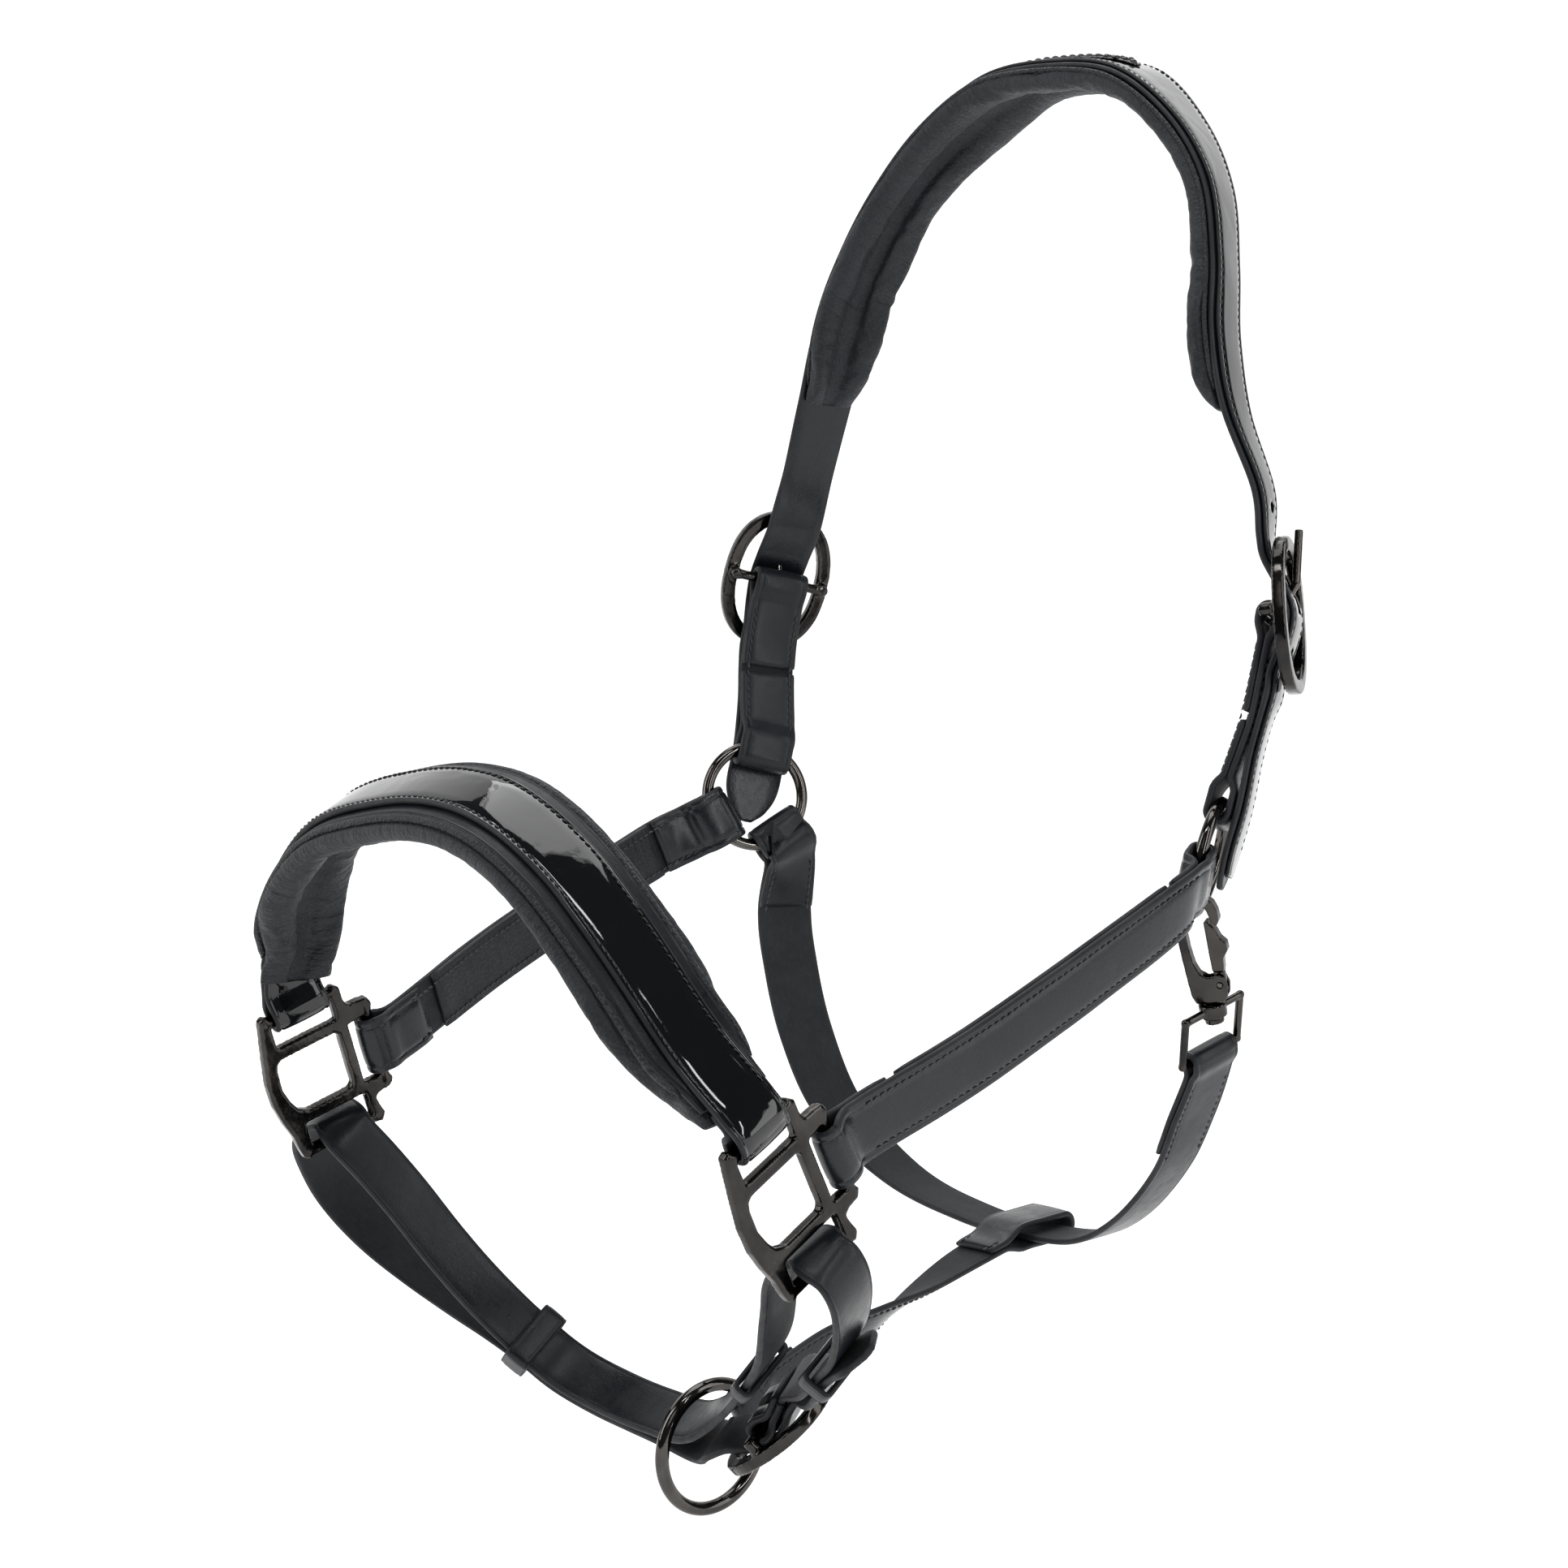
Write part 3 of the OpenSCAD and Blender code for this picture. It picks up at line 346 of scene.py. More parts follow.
def pebbled():
    m = Mat("pebbled_welt")
    v = m.vor(900, "F1"); n2 = m.noise(2200, 2)
    h = m.math("MULTIPLY", m.rng(v, 1, 0, 0, .7), m.rng(n2, .6, 1, .3, .7))
    col = m.mix(m.rng(h, 0, 1), (.006, .0065, .008), (.034, .036, .041))
    n = m.bump(h, .0006, 1.)
    m.set(Specular_IOR_Level=.3)
    return m.out(col, m.rng(h, .55, .32), n)

def edge_paint():
    m = Mat("painted_edge")
    f = m.noise(240, 4, .7); big = m.noise(45, 3)
    col = m.mix(m.rng(big, 0, 1, .35, .7), (.009, .010, .012), (.023, .0235, .026))
    n = m.bump(f, .00018, .7)
    m.set(Specular_IOR_Level=.22)
    return m.out(col, m.rng(f, .42, .62, .3, .7), n)

def flesh_side():
    m = Mat("flesh_side")
    fib = m.noise(1.0, 5, .7, m.mapped("UV", (900, 260, 1)), .7); blot = m.noise(60, 4, .65)
    col = m.mix(m.rng(blot, 0, 1, .35, .68), (.010, .0112, .0135), (.021, .0225, .026))
    col = m.mix(m.rng(fib, 0, .4, .5, .75), col, (.034, .035, .038))
    n = m.bump(fib, .00022, .7); n = m.bump(m.noise(1300, 3), .0001, .5, n)
    m.set(Specular_IOR_Level=.2, Sheen_Weight=.03, Sheen_Roughness=.5)
    return m.out(col, m.rng(blot, .55, .75, .3, .7), n)

def thread():
    m = Mat("waxed_thread")
    f = m.noise(2600, 2); tw = m.noise(120, 2)
    col = m.mix(m.rng(tw, 0, 1, .3, .7), (.010, .011, .013), (.030, .031, .035))
    m.set(Specular_IOR_Level=.35, Sheen_Weight=.04)
    return m.out(col, m.rng(f, .32, .5, .3, .7), m.bump(f, .0001, .7))

def black_nickel(name="black_nickel", c0=(.026, .025, .025), c1=(.060, .056, .052), rough=(.09, .19), cast=.00022):
    m = Mat(name)
    b1 = m.noise(38, 4, .6); f = m.noise(420, 4, .65)
    col = m.mix(m.rng(b1, 0, 1, .35, .68), c0, c1)
    col = m.mix(m.rng(m.noise(90, 5, .7, None, 1.0), 0, .8, .64, .76), col, (.11, .085, .062))
    # painted highlight: convex edges (Pointiness) are mixed towards a lighter grey, standing in for the light that
    # rounded metal edges catch
    g = m.node("ShaderNodeNewGeometry")
    col = m.mix(m.rng(g.outputs["Pointiness"], 0, .35, .54, .66), col, (.12, .112, .104))
    r = m.math("ADD", m.rng(b1, rough[0], rough[1], .3, .72), m.rng(f, -.03, .05, .35, .75))
    n = m.bump(m.noise(120, 3, .5), cast, .55); n = m.bump(f, .00002, .6, n)
    m.set(Metallic=1.0, Specular_IOR_Level=.5)
    return m.out(col, r, n)

M = dict(smooth=smooth_leather(), glossy=smooth_leather("polished_leather", (.0035, .0045, .0065), (.008, .010, .0135), (.20, .34), .16, .26),
         patent=patent_leather(), soft=soft_leather(), welt=pebbled(), edge=edge_paint(), flesh=flesh_side(), thread=thread(), nickel=black_nickel(),
         bright=black_nickel("black_nickel_wire", (.055, .052, .050), (.12, .112, .103), (.06, .13), .00008),
         stud=black_nickel("stud_nickel", (.03, .03, .032), (.07, .07, .075), (.16, .28), .00005))

# ------------------------------------------------------------------ meshes
def make(name, V, F, mats, mi=None, uv=None, body="headcollar", rep=(), recalc=True):
    me = bpy.data.meshes.new(name)
    me.from_pydata([tuple(v) for v in (np.array(V)*.001)], [], [tuple(int(i) for i in f) for f in F])
    if uv is not None:
        l = me.uv_layers.new(name="UVMap"); flat = []
        for f in uv:
            for c in f: flat.extend(c)
        l.data.foreach_set("uv", np.array(flat, np.float32))
    for x in mats: me.materials.append(x)
    if mi is not None: me.polygons.foreach_set("material_index", np.array(mi, np.int32))
    me.polygons.foreach_set("use_smooth", [True]*len(me.polygons))
    if recalc:
        bm = bmesh.new(); bm.from_mesh(me); bmesh.ops.recalc_face_normals(bm, faces=bm.faces); bm.to_mesh(me); bm.free()
    me.update()
    o = bpy.data.objects.new(name, me)
    bpy.context.scene.collection.objects.link(o)
    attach(o, body)
    if rep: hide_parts(*rep)
    return o

def profile(w, a, b, groove, gd, dome, r):
    """points round a strap's section from its right edge over the outer face: (across, out, zone)"""
    mid = (a+b)/2; th = (b-a)/2; h = w/2; r = min(r, h*.45)
    pts = []
    if groove:
        g = max(h-groove, h*.3)
        xs = [h-r, g+.75, g+.4, g, g-.4, g-.9, g*.62, g*.3, 0]
    else:
        xs = [h-r, h*.86, h*.8, h*.74, h*.66, h*.56, h*.42, h*.2, 0]
    def top(x):
        z = b+dome*(1-(x/h)**2)
        if groove:
            d = abs(abs(x)-g)
            z -= gd*max(0, 1-d/.8)
        return z
    full = xs+[-x for x in xs[-2::-1]]
    for x in full: pts.append((x, top(x), 0))
    for k in range(1, 7):
        f = math.pi/2+math.pi*k/7
        pts.append((-(h-r)+r*math.cos(f), mid+th*math.sin(f), 1))
    for x in (-(h-r), -h*.5, 0, h*.5, h-r): pts.append((x, a, 2))
    for k in range(1, 7):
        f = -math.pi/2+math.pi*k/7
        pts.append(((h-r)+r*math.cos(f), mid+th*math.sin(f), 1))
    return pts

def strap(name, q, a, b, mats=None, dw=0., groove=0., gd=.28, dome=.25, r=None, closed=False, wob=.12, rep=(), body="headcollar", caps=True, seed=0.):
    P, T, W, O = axes(q, closed)
    mats = mats or [M["smooth"], M["edge"], M["flesh"]]
    r = r if r is not None else (b-a)*.5
    V = []; U = []; n = len(q); K = None
    s = runs(q) if not closed else np.concatenate([runs(q)])
    for i in range(n):
        pr = profile(q[i, 6]+dw, a, b, groove, gd, dome, r)
        K = len(pr)
        e = 1.0
        u = 0; prev = None
        w0 = wob*noise.noise(Vector((s[i]*.045, seed, 1.7)))
        w1 = wob*noise.noise(Vector((s[i]*.05, seed+5, 4.1)))
        for (x, z, zone) in pr:
            z2 = z if not (not closed and i in (0, n-1)) else (a+b)/2+(z-(a+b)/2)*.72
            x2 = x if not (not closed and i in (0, n-1)) else x*.985
            V.append(P[i]+W[i]*(x2+w1)+O[i]*(z2+w0))
            if prev is not None: u += math.hypot(x-prev[0], z-prev[1])
            prev = (x, z); U.append((u*.001, s[i]*.001))
    zones = [p[2] for p in pr]
    F = []; uv = []; mi = []
    per = U[K-1][0]+.001
    rings = n if closed else n-1
    for i in range(rings):
        j = (i+1) % n
        for k in range(K):
            l = (k+1) % K
            F.append((i*K+k, i*K+l, j*K+l, j*K+k))
            ua, ub = U[i*K+k][0], (U[i*K+l][0] if l else per)
            va = s[i]*.001; vb = s[j]*.001 if j else (s[-1]+np.linalg.norm(P[0]-P[-1]))*.001
            uv.append([(ua, va), (ub, va), (ub, vb), (ua, vb)])
            za, zb = zones[k], zones[l]
            mi.append(0 if za == 0 and zb == 0 else 2 if za == 2 and zb == 2 else 1)
    if not closed and caps:
        for i, sgn in ((0, 1), (n-1, -1)):
            c = len(V); V.append(P[i]+O[i]*(a+b)/2-T[i]*sgn*.25)
            for k in range(K):
                l = (k+1) % K
                F.append((i*K+k, i*K+l, c)); uv.append([(0, 0), (.001, 0), (0, .001)]); mi.append(1)
    return make(name, V, F, mats, mi, uv, body, rep)

def stitches(name, sets, body="headcollar", half=1.25, rad=.36, slant=9, pitch=3.1):
    """sets: (rows, inset from the edge, height off the rows, from, to, which sides)"""
    V = []; F = []
    sides = 6
    prof = [(-1, 0), (-.86, .55), (-.45, .95), (0, 1.06), (.45, .95), (.86, .55), (1, 0)]
    for q, inset, z, s0, s1, who in sets:
        P, T, W, O = axes(q); s = runs(q)
        s1 = s[-1]+s1 if s1 <= 0 else s1
        for sd in who:
            c = s0
            while c < s1:
                f = np.searchsorted(s, c)-1; f = min(max(f, 0), len(s)-2)
                t = (c-s[f])/(s[f+1]-s[f])
                L = lambda X: X[f]*(1-t)+X[f+1]*t
                p, tt, ww, oo = L(P), L(T), L(W), L(O); wd = L(q[:, 6])
                x = sd*(wd/2-inset) if inset > 0 else -sd*wd*inset
                jit = rng.normal(0, .05, 3)
                a = math.radians(slant*sd+rng.normal(0, 1.5))
                d = tt*math.cos(a)+ww*math.sin(a); e = ww*math.cos(a)-tt*math.sin(a)
                cen = p+ww*(x+jit[0])+oo*(z+jit[1]*.3)
                base = len(V)
                V.append(cen+d*half*prof[0][0]-oo*rad*.9)
                for (l, rr) in prof[1:-1]:
                    for k in range(sides):
                        g = 2*math.pi*k/sides
                        V.append(cen+d*half*l+(e*math.cos(g)+oo*math.sin(g))*rad*rr-oo*rad*.9*abs(l)**3)
                V.append(cen+d*half-oo*rad*.9)
                nr = len(prof)-2
                for k in range(sides):
                    l2 = (k+1) % sides
                    F.append((base, base+1+l2, base+1+k))
                    for r2 in range(nr-1):
                        F.append((base+1+r2*sides+k, base+1+r2*sides+l2, base+1+(r2+1)*sides+l2, base+1+(r2+1)*sides+k))
                    F.append((base+1+(nr-1)*sides+k, base+1+(nr-1)*sides+l2, base+1+nr*sides))
                c += pitch
    return make(name, V, F, [M["thread"]], None, None, body, ())

def tube(name, q, x, z, rad, mats, sides=10, body="headcollar", ins=0.):
    """a piped edge along rows at the strap's edge (x = +1 or -1), both sides in one mesh"""
    V = []; F = []; uv = []
    P, T, W, O = axes(q); s = runs(q); n = len(q)
    for sd in x:
        b0 = len(V)
        for i in range(n):
            w = q[i, 6]/2-ins
            e = min(1, .25+min(s[i], s[-1]-s[i])/6)
            for k in range(sides):
                g = 2*math.pi*k/sides
                V.append(P[i]+W[i]*(sd*w+rad*1.05*e*math.cos(g))+O[i]*(z+rad*e*math.sin(g)))
        for i in range(n-1):
            for k in range(sides):
                l = (k+1) % sides
                F.append((b0+i*sides+k, b0+i*sides+l, b0+(i+1)*sides+l, b0+(i+1)*sides+k))
                uv.append([(k/sides*.01, s[i]*.001), ((k+1)/sides*.01, s[i]*.001), ((k+1)/sides*.01, s[i+1]*.001), (k/sides*.01, s[i+1]*.001)])
        for i in (0, n-1):
            c = len(V); V.append(P[i]+W[i]*sd*(q[i, 6]/2-ins)+O[i]*z)
            for k in range(sides):
                F.append((b0+i*sides+k, b0+i*sides+(k+1) % sides, c)); uv.append([(0, 0), (.001, 0), (0, .001)])
    return make(name, V, F, mats, None, uv, body, ())

# ------------------------------------------------------------------ padded linings
def pad(name, q, t, rep, cap=1.3, seed=3):
    """two soft rolls with a sewn channel between them, blown up by cloth simulation"""
    P, T, W, O = axes(q); s = runs(q); n = len(q); L = s[-1]
    phi = np.radians(np.linspace(-38, 168, 13))
    half_x = [.325+.195*math.cos(a) for a in phi]; half_z = [.46+.54*math.sin(a) for a in phi]
    xin = np.concatenate([-np.array(half_x), [-.115, -.06, 0, .06, .115], np.array(half_x)[::-1]])
    zin = np.concatenate([half_z, [.40, .34, .33, .34, .40], half_z[::-1]])
    V = []; pin = []; uv_u = []
    K = len(xin)+3
    for i in range(n):
        e = min(1., .30+.70*math.sin(min(1, min(s[i], L-s[i])/16)*math.pi/2))
        w = q[i, 6]
        pts = []
        for x, z in zip(xin, zin):
            pts.append((x*(.97+.03*e), -z*e, 1. if abs(x) < .13 else 0.))
        pts.append((.41, -.02, 1.)); pts.append((0, -.02, 1.)); pts.append((-.41, -.02, 1.))
        for (x, z, pn) in pts:
            V.append(P[i]+W[i]*x*w+O[i]*z*t)
            pin.append(1. if i < 2 or i > n-3 else pn)
    F = []; uv = []
    for i in range(n-1):
        for k in range(K):
            l = (k+1) % K
            F.append((i*K+k, i*K+l, (i+1)*K+l, (i+1)*K+k))
            uv.append([(k/K*.09, s[i]*.001), ((k+1)/K*.09, s[i]*.001), ((k+1)/K*.09, s[i+1]*.001), (k/K*.09, s[i+1]*.001)])
    for i in (0, n-1):
        c = len(V); V.append(np.mean([V[i*K+k] for k in range(K)], 0)); pin.append(1.)
        for k in range(K):
            F.append((i*K+k, i*K+(k+1) % K, c)); uv.append([(0, 0), (.001, 0), (0, .001)])
    o = make(name, V, F, [M["soft"]], None, uv, "headcollar", rep)
    rest = np.array([v.co for v in o.data.vertices], float)
    sim = bpy.data.objects.new(name+"_sim", o.data.copy())
    bpy.context.scene.collection.objects.link(sim)
    vg = sim.vertex_groups.new(name="pin")
    for i, p in enumerate(pin):
        if p > 0: vg.add([i], p, "REPLACE")
    md = sim.modifiers.new("cloth", "CLOTH")
    c = md.settings
    c.quality = 5; c.mass = .15
    c.tension_stiffness = 12; c.compression_stiffness = 4; c.shear_stiffness = 4; c.bending_stiffness = .05
    c.vertex_group_mass = "pin"; c.pin_stiffness = 1
    c.use_pressure = True; c.uniform_pressure_force = 4.; c.shrink_min = -.035
    c.effector_weights.gravity = 0
    md.collision_settings.use_collision = False
    md.point_cache.frame_start = 1; md.point_cache.frame_end = 20
    sc = bpy.context.scene
    sc.frame_start, sc.frame_end = 1, 20
    for f in range(1, 21): sc.frame_set(f)
    dg = bpy.context.evaluated_depsgraph_get(); ev = sim.evaluated_get(dg)
    got = np.array([v.co for v in ev.data.vertices], float)
    if len(got) == len(rest) and np.isfinite(got).all():
        d = got-rest; ln = np.linalg.norm(d, axis=1)
        k = np.minimum(1, cap*.001/np.maximum(ln, 1e-9))
        print("pad", name, "moved up to", round(float(ln.max()*1000), 2), "mm, mean", round(float(ln.mean()*1000), 2))
        o.data.vertices.foreach_set("co", (rest+d*k[:, None]).astype(np.float32).ravel())
        o.data.update()
    bpy.data.objects.remove(sim)
    sc.frame_set(1)
    # creases across the rolls, as soft leather gathers at its seams
    co = np.array([v.co for v in o.data.vertices], float); nrm = np.array([v.normal for v in o.data.vertices], float)
    for i in range(n):
        for k in range(K):
            idx = i*K+k
            if k < len(xin):
                ax = abs(xin[k]); amt = max(0, math.sin(math.pi*min(1, max(0, (ax-.13)/.37))))
                g = noise.noise(Vector((s[i]*.30, (1 if xin[k] > 0 else 9)+seed, xin[k]*3)))+.5*noise.noise(Vector((s[i]*.75, xin[k]*5+seed, 3.3)))
                co[idx] += nrm[idx]*g*.00042*(.35+amt)
    o.data.vertices.foreach_set("co", co.astype(np.float32).ravel()); o.data.update()
    sub = o.modifiers.new("sub", "SUBSURF"); sub.levels = 1; sub.render_levels = 1
    return o

P_, T2, W2, O2 = axes(crown_rows)
pidx = (len(crown_rows)-1)//2-(len(smooth(pad_q, 8))-1)//2
pw = smooth(pad_q, 8)[:, 6]
cp = np.array([np.concatenate([crown_rows[pidx+i, :3], W2[pidx+i], [pw[i]]]) for i in range(len(pw))])
cp_f = np.empty((2*len(cp)-1, 7)); cp_f[::2] = cp; cp_f[1::2] = (cp[1:]+cp[:-1])/2
crown_pad = pad("crown_pad_padded", shift(cp_f, -2.0), 8.0, ("crown_pad",), seed=3)
nose_fine = nose_part(11)
nf = np.empty((2*len(nose_fine)-1, 7)); nf[::2] = nose_fine; nf[1::2] = (nose_fine[1:]+nose_fine[:-1])/2
nose_pad = pad("noseband_pad_padded", shift(nf, -2.4, 1.5), 9.2, ("noseband_pad",), seed=11)

stitches("crown_pad_stitching", [(cp_f, -.112, -2.0-8.0*.37, 14, -14, (1, -1))], half=1.1, rad=.32)
stitches("noseband_pad_stitching", [(nf, -.112, -2.4-9.2*.37, 14, -14, (1, -1))], half=1.1, rad=.32)

# ------------------------------------------------------------------ straps
def cut(o, cutters):
    """cuts holes and slots: (centre, x, y, z, kind, sizes) in mm"""
    for c, x, y, z, kind, sz in cutters:
        bm = bmesh.new()
        if kind == "cyl":
            bmesh.ops.create_cone(bm, cap_ends=True, segments=24, radius1=sz[0]/2, radius2=sz[0]/2, depth=sz[1])
        else:
            bmesh.ops.create_cube(bm, size=1)
            for v in bm.verts: v.co = Vector((v.co[0]*sz[0], v.co[1]*sz[1], v.co[2]*sz[2]))
        me = bpy.data.meshes.new("cutter")
        for v in bm.verts:
            p = c+x*v.co[0]+y*v.co[1]+z*v.co[2]; v.co = Vector(p*.001)
        bmesh.ops.recalc_face_normals(bm, faces=bm.faces)
        bm.to_mesh(me); bm.free()
        k = bpy.data.objects.new("cutter", me); bpy.context.scene.collection.objects.link(k)
        md = o.modifiers.new("cut", "BOOLEAN"); md.operation = "DIFFERENCE"; md.solver = "EXACT"; md.object = k
        dg = bpy.context.evaluated_depsgraph_get()
        new = bpy.data.meshes.new_from_object(o.evaluated_get(dg))
        o.modifiers.remove(md); old = o.data; o.data = new
        bpy.data.objects.remove(k)
    return o

def slots(z0):
    out = []
    for sx in (1, -1):
        f = A(sx, 1, 1)
        c, x, y, z = BKC*f, BKW*f, BKU*f, BKN*f
        out += [(c+y*7.5+z*5, x, y, z, "box", (4.6, 15, 12)), (c-y*14+z*2, x, y, z, "cyl", (4.2, 12)), (c+y*39-z, x, y, z, "cyl", (4.2, 12))]
    return out

crown = strap("crown_strap_leather", crown_rows, -1.7, .5, [M["smooth"], M["edge"], M["glossy"]], groove=1.6, gd=.15, dome=0, rep=("crown_strap",), wob=0)
cut(crown, slots(0))
pat_rows = crown_rows[8:-8]
patent = strap("crown_patent_leather", pat_rows, .75, 2.05, [M["patent"], M["edge"], M["edge"]], dw=-4, groove=2.1, gd=.32, dome=.35, rep=("crown_patent_strip",), wob=.1)
cut(patent, slots(0))
s_p = runs(pat_rows)
stitches("crown_stitching", [(pat_rows, 4.1, 2.06, 9, -9, (1, -1))], pitch=2.9, half=1.2, rad=.33)
tube("crown_pad_welt", shift(cp_f, -2.45, .3)[4:-4], (1, -1), 0, .95, [M["welt"]], ins=.7)

for sx, side in ((1, "left"), (-1, "right")):
    q = folded(bstrap_rows, T_, G_, 2.3, 2, 10, runs(bstrap_rows)[-1]/2, 2.6, 6.9, 15, runs(bstrap_rows)[-1]/2-.4)
    base = bstrap_rows
    if sx < 0:
        q = np.array([mir(r) for r in q])[::-1]
        base = np.array([mir(r) for r in bstrap_rows])[::-1]
    o = strap("buckle_strap_"+side+"_leather", q, -T_/2, T_/2, [M["smooth"], M["edge"], M["flesh"]], groove=2.4, gd=.22, dome=.3, r=1.0, rep=("buckle_strap_"+side,), seed=sx*3.)
    f = A(sx, 1, 1)
    cut(o, [(BKC*f-BKU*f, BKW*f, BKU*f, BKN*f, "box", (6.2, 17, 14))])
    s0, s1 = (12, -12)
    stitches("buckle_strap_"+side+"_stitching", [(base, 2.4, T_+.22, s0, s1, (1, -1)), (base, 2.4, -T_-.22, s0, s1, (1, -1))])

def band(name, c, w, d, iw, it, l, th=1.8, rep=(), body="headcollar"):
    y = unit(d); x = unit(np.array(w)-(np.array(w)@y)*y); z = np.cross(x, y)
    hw, ht, r = iw/2+th/2, it/2+th/2, th/2+.9
    pts = []
    for cx, cz, a0 in ((hw-r, ht-r, 0), (-(hw-r), ht-r, 90), (-(hw-r), -(ht-r), 180), (hw-r, -(ht-r), 270)):
        for k in range(7):
            f = math.radians(a0+k*15)
            pts.append((cx+r*math.cos(f), cz+r*math.sin(f)))
    dense = []
    for i in range(len(pts)):
        a, b = np.array(pts[i]), np.array(pts[(i+1) % len(pts)])
        m_ = max(1, int(np.linalg.norm(b-a)/1.6))
        for k in range(m_): dense.append(a+(b-a)*k/m_)
    q = np.array([row(np.array(c)+x*p[0]+z*p[1], y, l) for p in dense])
    # outward is away from the loop's middle
    P, T, W, O = axes(q, True)
    if np.sum(O*(P-np.array(c))) < 0: q = q[::-1]
    return strap(name, q, -th/2, th/2, [M["smooth"], M["edge"], M["flesh"]], groove=1.3, gd=.14, dome=.18, r=.8, closed=True, wob=.05, rep=rep, body=body)

band("chin_keeper_far_leather", ch(-80.2, 97.2), CHW, ch(-71, 107.6)-ch(-89.4, 86.6), chin_w+1.6, 9.6, 10, rep=("chin_keeper_far",), body="chin_keeper_far")
band("chin_keeper_near_leather", ch(54.2, 70), CHW, ch(73, 52)-ch(36, 89), chin_w+1, 4, 8, rep=("chin_keeper_near",))
band("chin_keeper_buckle_leather", ch(98.9, 52.6), CHW, ch(108, 42.5)-ch(88, 60), chin_w+1.2, 8.2, 8, rep=("chin_keeper_buckle",))

for k, side in ((0, "left"), (1, "right")):
    q = cheek_rows(k)
    f = folded(q, T_, G_, fold_r, 1.5, 10, 28, 2.6, 6.9, 16, 30) if k == 0 else folded(q, T_, G_, 2.6, 6.9, 16, 30, fold_r, 1.5, 10, 28)
    strap("cheek_strap_"+side+"_leather", f, -T_/2, T_/2, [M["glossy"], M["edge"], M["flesh"]], groove=3.0, gd=.34, dome=.55, r=1.0, rep=("cheek_strap_"+side,), seed=k*7.)
    ln = part_of(q, 28.4, 30.4) if k == 0 else part_of(q, 30.4, 28.4)
    strap("cheek_lining_"+side+"_leather", ln, -T_-.05, -.05, [M["edge"], M["edge"], M["soft"]], r=.9, dome=0, wob=.05, rep=("cheek_lining_"+side,))
    stitches("cheek_strap_"+side+"_stitching", [(q, 3.0, T_+.24, 17, -17, (1, -1)), (q, 3.0, -T_-.2, 17, -17, (1, -1))])

f = folded(nose_rows, T_, G_, fold_r, 1.5, 10, 15, fold_r, 1.5, 10, 15)
strap("noseband_patent_leather", f, -T_/2, T_/2, [M["patent"], M["edge"], M["flesh"]], groove=2.0, gd=.36, dome=.4, r=.9, rep=("noseband_patent_strap",), seed=2.)
nb = nose_part(15.5); nb[:, 6] = np.minimum(nb[:, 6], 32)
strap("noseband_backing_leather", nb, -2.3, -.05, [M["smooth"], M["edge"], M["soft"]], groove=1.7, gd=.1, dome=0, r=1.1, wob=.05, rep=("noseband_backing",))
tube("noseband_welt", shift(nb, -1.6)[3:-3], (1, -1), 0, 1.45, [M["welt"]], ins=-.5)
stitches("noseband_stitching", [(nose_rows, 2.0, T_+.24, 14, -14, (1, -1))], pitch=2.9, half=1.2, rad=.34)

f = folded(throat_rows, T_, G_, 2.6, 6.9, 16, 38, 1.8, 1.5, 8, 48)
strap("throat_strap_leather", f, -T_/2, T_/2, [M["smooth"], M["edge"], M["flesh"]], groove=1.9, gd=.14, dome=.18, r=1.0, rep=("throat_strap",), seed=4.)
L = runs(throat_rows)[-1]
stitches("throat_strap_stitching", [(throat_rows, 2.6, T_+.12, 17, 37, (1, -1)), (throat_rows, 2.6, T_+.12, L-47, -10, (1, -1)),
                                    (throat_rows, 2.6, -T_-.12, 17, 37, (1, -1)), (throat_rows, 2.6, -T_-.12, L-47, -10, (1, -1))])
f = folded(jaw_rows, T_, G_, 2.85, 6.6, 16, 30, 3.2, 24.5, 36, 46)
strap("jaw_strap_leather", f, -T_/2, T_/2, [M["glossy"], M["edge"], M["flesh"]], groove=1.9, gd=.14, dome=.25, r=1.0, rep=("jaw_strap",), seed=5.)
stitches("jaw_strap_stitching", [(jaw_rows, 2.5, T_+.16, 17, -36, (1, -1)), (jaw_rows, 2.5, -T_-.1, 17, 29, (1, -1)), (jaw_rows, 2.5, -T_-.1, runs(jaw_rows)[-1]-45, -37, (1, -1))])
f = folded(chin_rows, chin_t, G_, 2.3, 2, 10, 20, 0, 0, 0, 0)
o = strap("chin_strap_leather", f, -chin_t/2, chin_t/2, [M["smooth"], M["edge"], M["flesh"]], groove=1.8, gd=.12, dome=.15, r=1.1, rep=("chin_strap",), seed=6.)
cut(o, [(CBC-CBU-CBN*.5, CBW, CBU, CBN, "box", (6.2, 17, 12.5)), (CBC+CBU*7.5+CBN*7, CBW, CBU, CBN, "box", (4.6, 15, 9)),
        (ch(-20, 118.8, 1.5), unit([1, 0, 0]), CHW, CHS, "cyl", (3.6, 3.4))])

# ------------------------------------------------------------------ studded inlay at the poll
c = (len(crown_rows)-1)//2
V = []; F = []
def dome_at(p, t, w, o, r, h):
    b0 = len(V); R = 4; S = 10
    for i in range(R):
        a = math.pi/2*i/R
        for k in range(S):
            g = 2*math.pi*k/S
            V.append(p+(t*math.cos(g)+w*math.sin(g))*r*math.cos(a)+o*(h*math.sin(a)))
    V.append(p+o*h)
    V.append(p-o*.2)
    for i in range(R-1):
        for k in range(S):
            l = (k+1) % S
            F.append((b0+i*S+k, b0+i*S+l, b0+(i+1)*S+l, b0+(i+1)*S+k))
    for k in range(S):
        l = (k+1) % S
        F.append((b0+(R-1)*S+k, b0+(R-1)*S+l, b0+R*S)); F.append((b0+l, b0+k, b0+R*S+1))
sc_ = runs(crown_rows); sc_ = sc_-sc_[c]
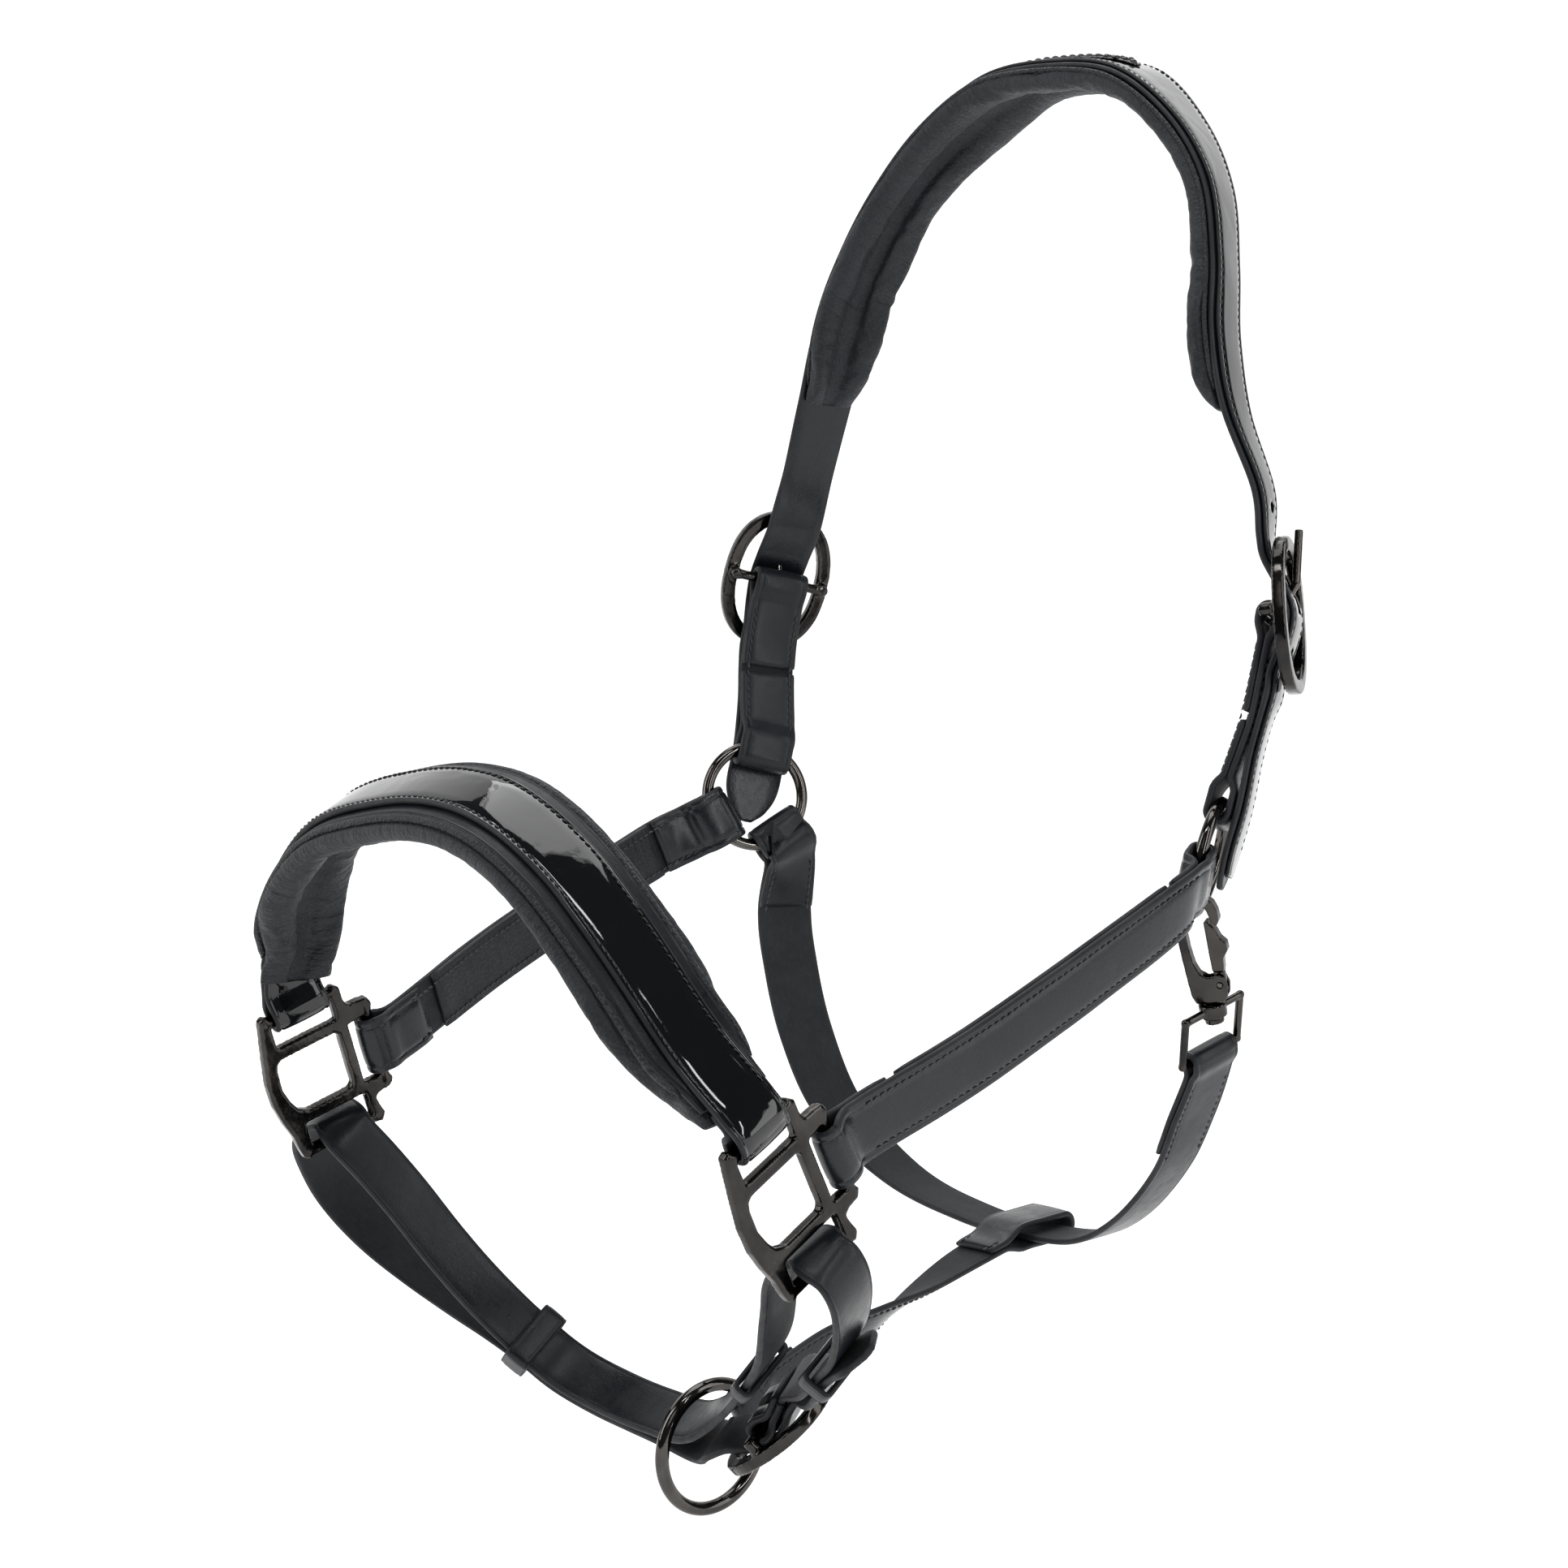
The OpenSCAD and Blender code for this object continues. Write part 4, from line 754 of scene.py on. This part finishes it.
def at_s(x):
    f = int(np.clip(np.searchsorted(sc_, x)-1, 0, len(sc_)-2)); t = (x-sc_[f])/(sc_[f+1]-sc_[f])
    return [X[f]*(1-t)+X[f+1]*t for X in (P_, T2, W2, O2)]
for rr, y in enumerate((-4.4, 0, 4.4)):
    half = 30*math.sqrt(max(0, 1.0-(y/7.9)**2))-2.2
    nst = int(2*half/3.9)
    for i in range(nst+1):
        x = -half+2*half*i/nst
        p, t, w, o_ = at_s(x)
        dome_at(p+w*y+o_*3.25, t, w, o_, 1.45, 1.15)
make("crown_inlay_studs", V, F, [M["stud"]], None, None, "headcollar", ())

# ------------------------------------------------------------------ cast metal: the CAD shapes, with their edges worn round
def cast(n, voxel=.0005, it=8, mat="nickel"):
    o = nodes[n]
    o.data.materials.clear(); o.data.materials.append(M[mat])
    md = o.modifiers.new("cast", "REMESH"); md.mode = "VOXEL"; md.voxel_size = voxel; md.use_smooth_shade = True
    sm = o.modifiers.new("polish", "SMOOTH"); sm.factor = .5; sm.iterations = it
for n in ("square_left", "square_right"): cast(n, .00055, 6)
for n in ("crown_buckle_left", "crown_buckle_right", "chin_buckle"): cast(n, .00055, 16)
for n in ("crown_tongue_left", "crown_tongue_right", "chin_tongue"): cast(n, .0004, 5, "bright")
for n in ("snap_body", "snap_gate"): cast(n, .0004, 5)
cast("snap_loop", .0004, 5)
cast("snap_gate_pin", .00025, 2, "bright")
cast("crown_inlay", .0005, 4, "stud")
for n in ("jaw_ring_left", "jaw_ring_right", "lead_ring"):
    nodes[n].data.materials.clear(); nodes[n].data.materials.append(M["bright"])
    nodes[n].data.polygons.foreach_set("use_smooth", [True]*len(nodes[n].data.polygons))

# ------------------------------------------------------------------ floor, backdrop and light
zf = cad_lo[2]-.002
h = A(-.7071, .7071, 0); sdir = A(.7071, .7071, 0)
pts = [(-4.0, 0), (-1.0, 0), (0, 0), (1.6, 0)]+[(1.6+1.0*math.sin(math.radians(a)), 1.0-1.0*math.cos(math.radians(a))) for a in range(10, 91, 10)]+[(2.6, 2.0), (2.6, 4.0)]
V = []; F = []
for d, z in pts:
    for x in (-4, -1.5, 1.5, 4):
        p = h*d+sdir*x; V.append((p[0]*1000, (p[1]-.17)*1000, (zf+z)*1000))
for i in range(len(pts)-1):
    for k in range(3): F.append((i*4+k, i*4+k+1, (i+1)*4+k+1, (i+1)*4+k))
me = bpy.data.meshes.new("floor"); me.from_pydata([tuple(np.array(v)*.001) for v in V], [], F)
me.polygons.foreach_set("use_smooth", [True]*len(me.polygons))
floor = bpy.data.objects.new("floor", me); bpy.context.scene.collection.objects.link(floor)
fm = bpy.data.materials.new("floor"); fm.use_nodes = True
b = next(n for n in fm.node_tree.nodes if n.type == "BSDF_PRINCIPLED")
b.inputs["Base Color"].default_value = (.55, .55, .55, 1); b.inputs["Roughness"].default_value = .9
b.inputs["Specular IOR Level"].default_value = .1
b.inputs["Emission Color"].default_value = (1, 1, 1, 1); b.inputs["Emission Strength"].default_value = .80
me.materials.append(fm)

def light(name, loc, aim, size, power, sy=None):
    l = bpy.data.lights.new(name, "AREA"); l.energy = power; l.size = size
    if sy: l.shape = "RECTANGLE"; l.size_y = sy
    o = bpy.data.objects.new(name, l); bpy.context.scene.collection.objects.link(o)
    o.location = loc
    o.rotation_euler = (Vector(aim)-Vector(loc)).to_track_quat("-Z", "Y").to_euler()
mid = Vector(((cad_lo+cad_hi)/2))
light("top", (-.35, .25, 1.25), mid, 1.3, 16)
light("left", (-1.1, -1.15, .35), mid, .7, 7, 1.3)
light("right", (1.35, .55, .25), mid, .55, 7, 1.4)
light("front", (.9, -1.6, .9), mid, .8, 2)
light("strip_left", (-.75, -1.35, .45), mid, .10, 7, 1.5)
light("strip_right", (1.45, -.35, .35), mid, .10, 7, 1.5)
light("strip_top", (.35, -.75, 1.15), mid, .9, 5, .12)
w = bpy.data.worlds.new("world"); bpy.context.scene.world = w; w.use_nodes = True
nt = w.node_tree; bg = next(n for n in nt.nodes if n.type == "BACKGROUND")
bg.inputs["Color"].default_value = (.93, .96, 1, 1); bg.inputs["Strength"].default_value = .10
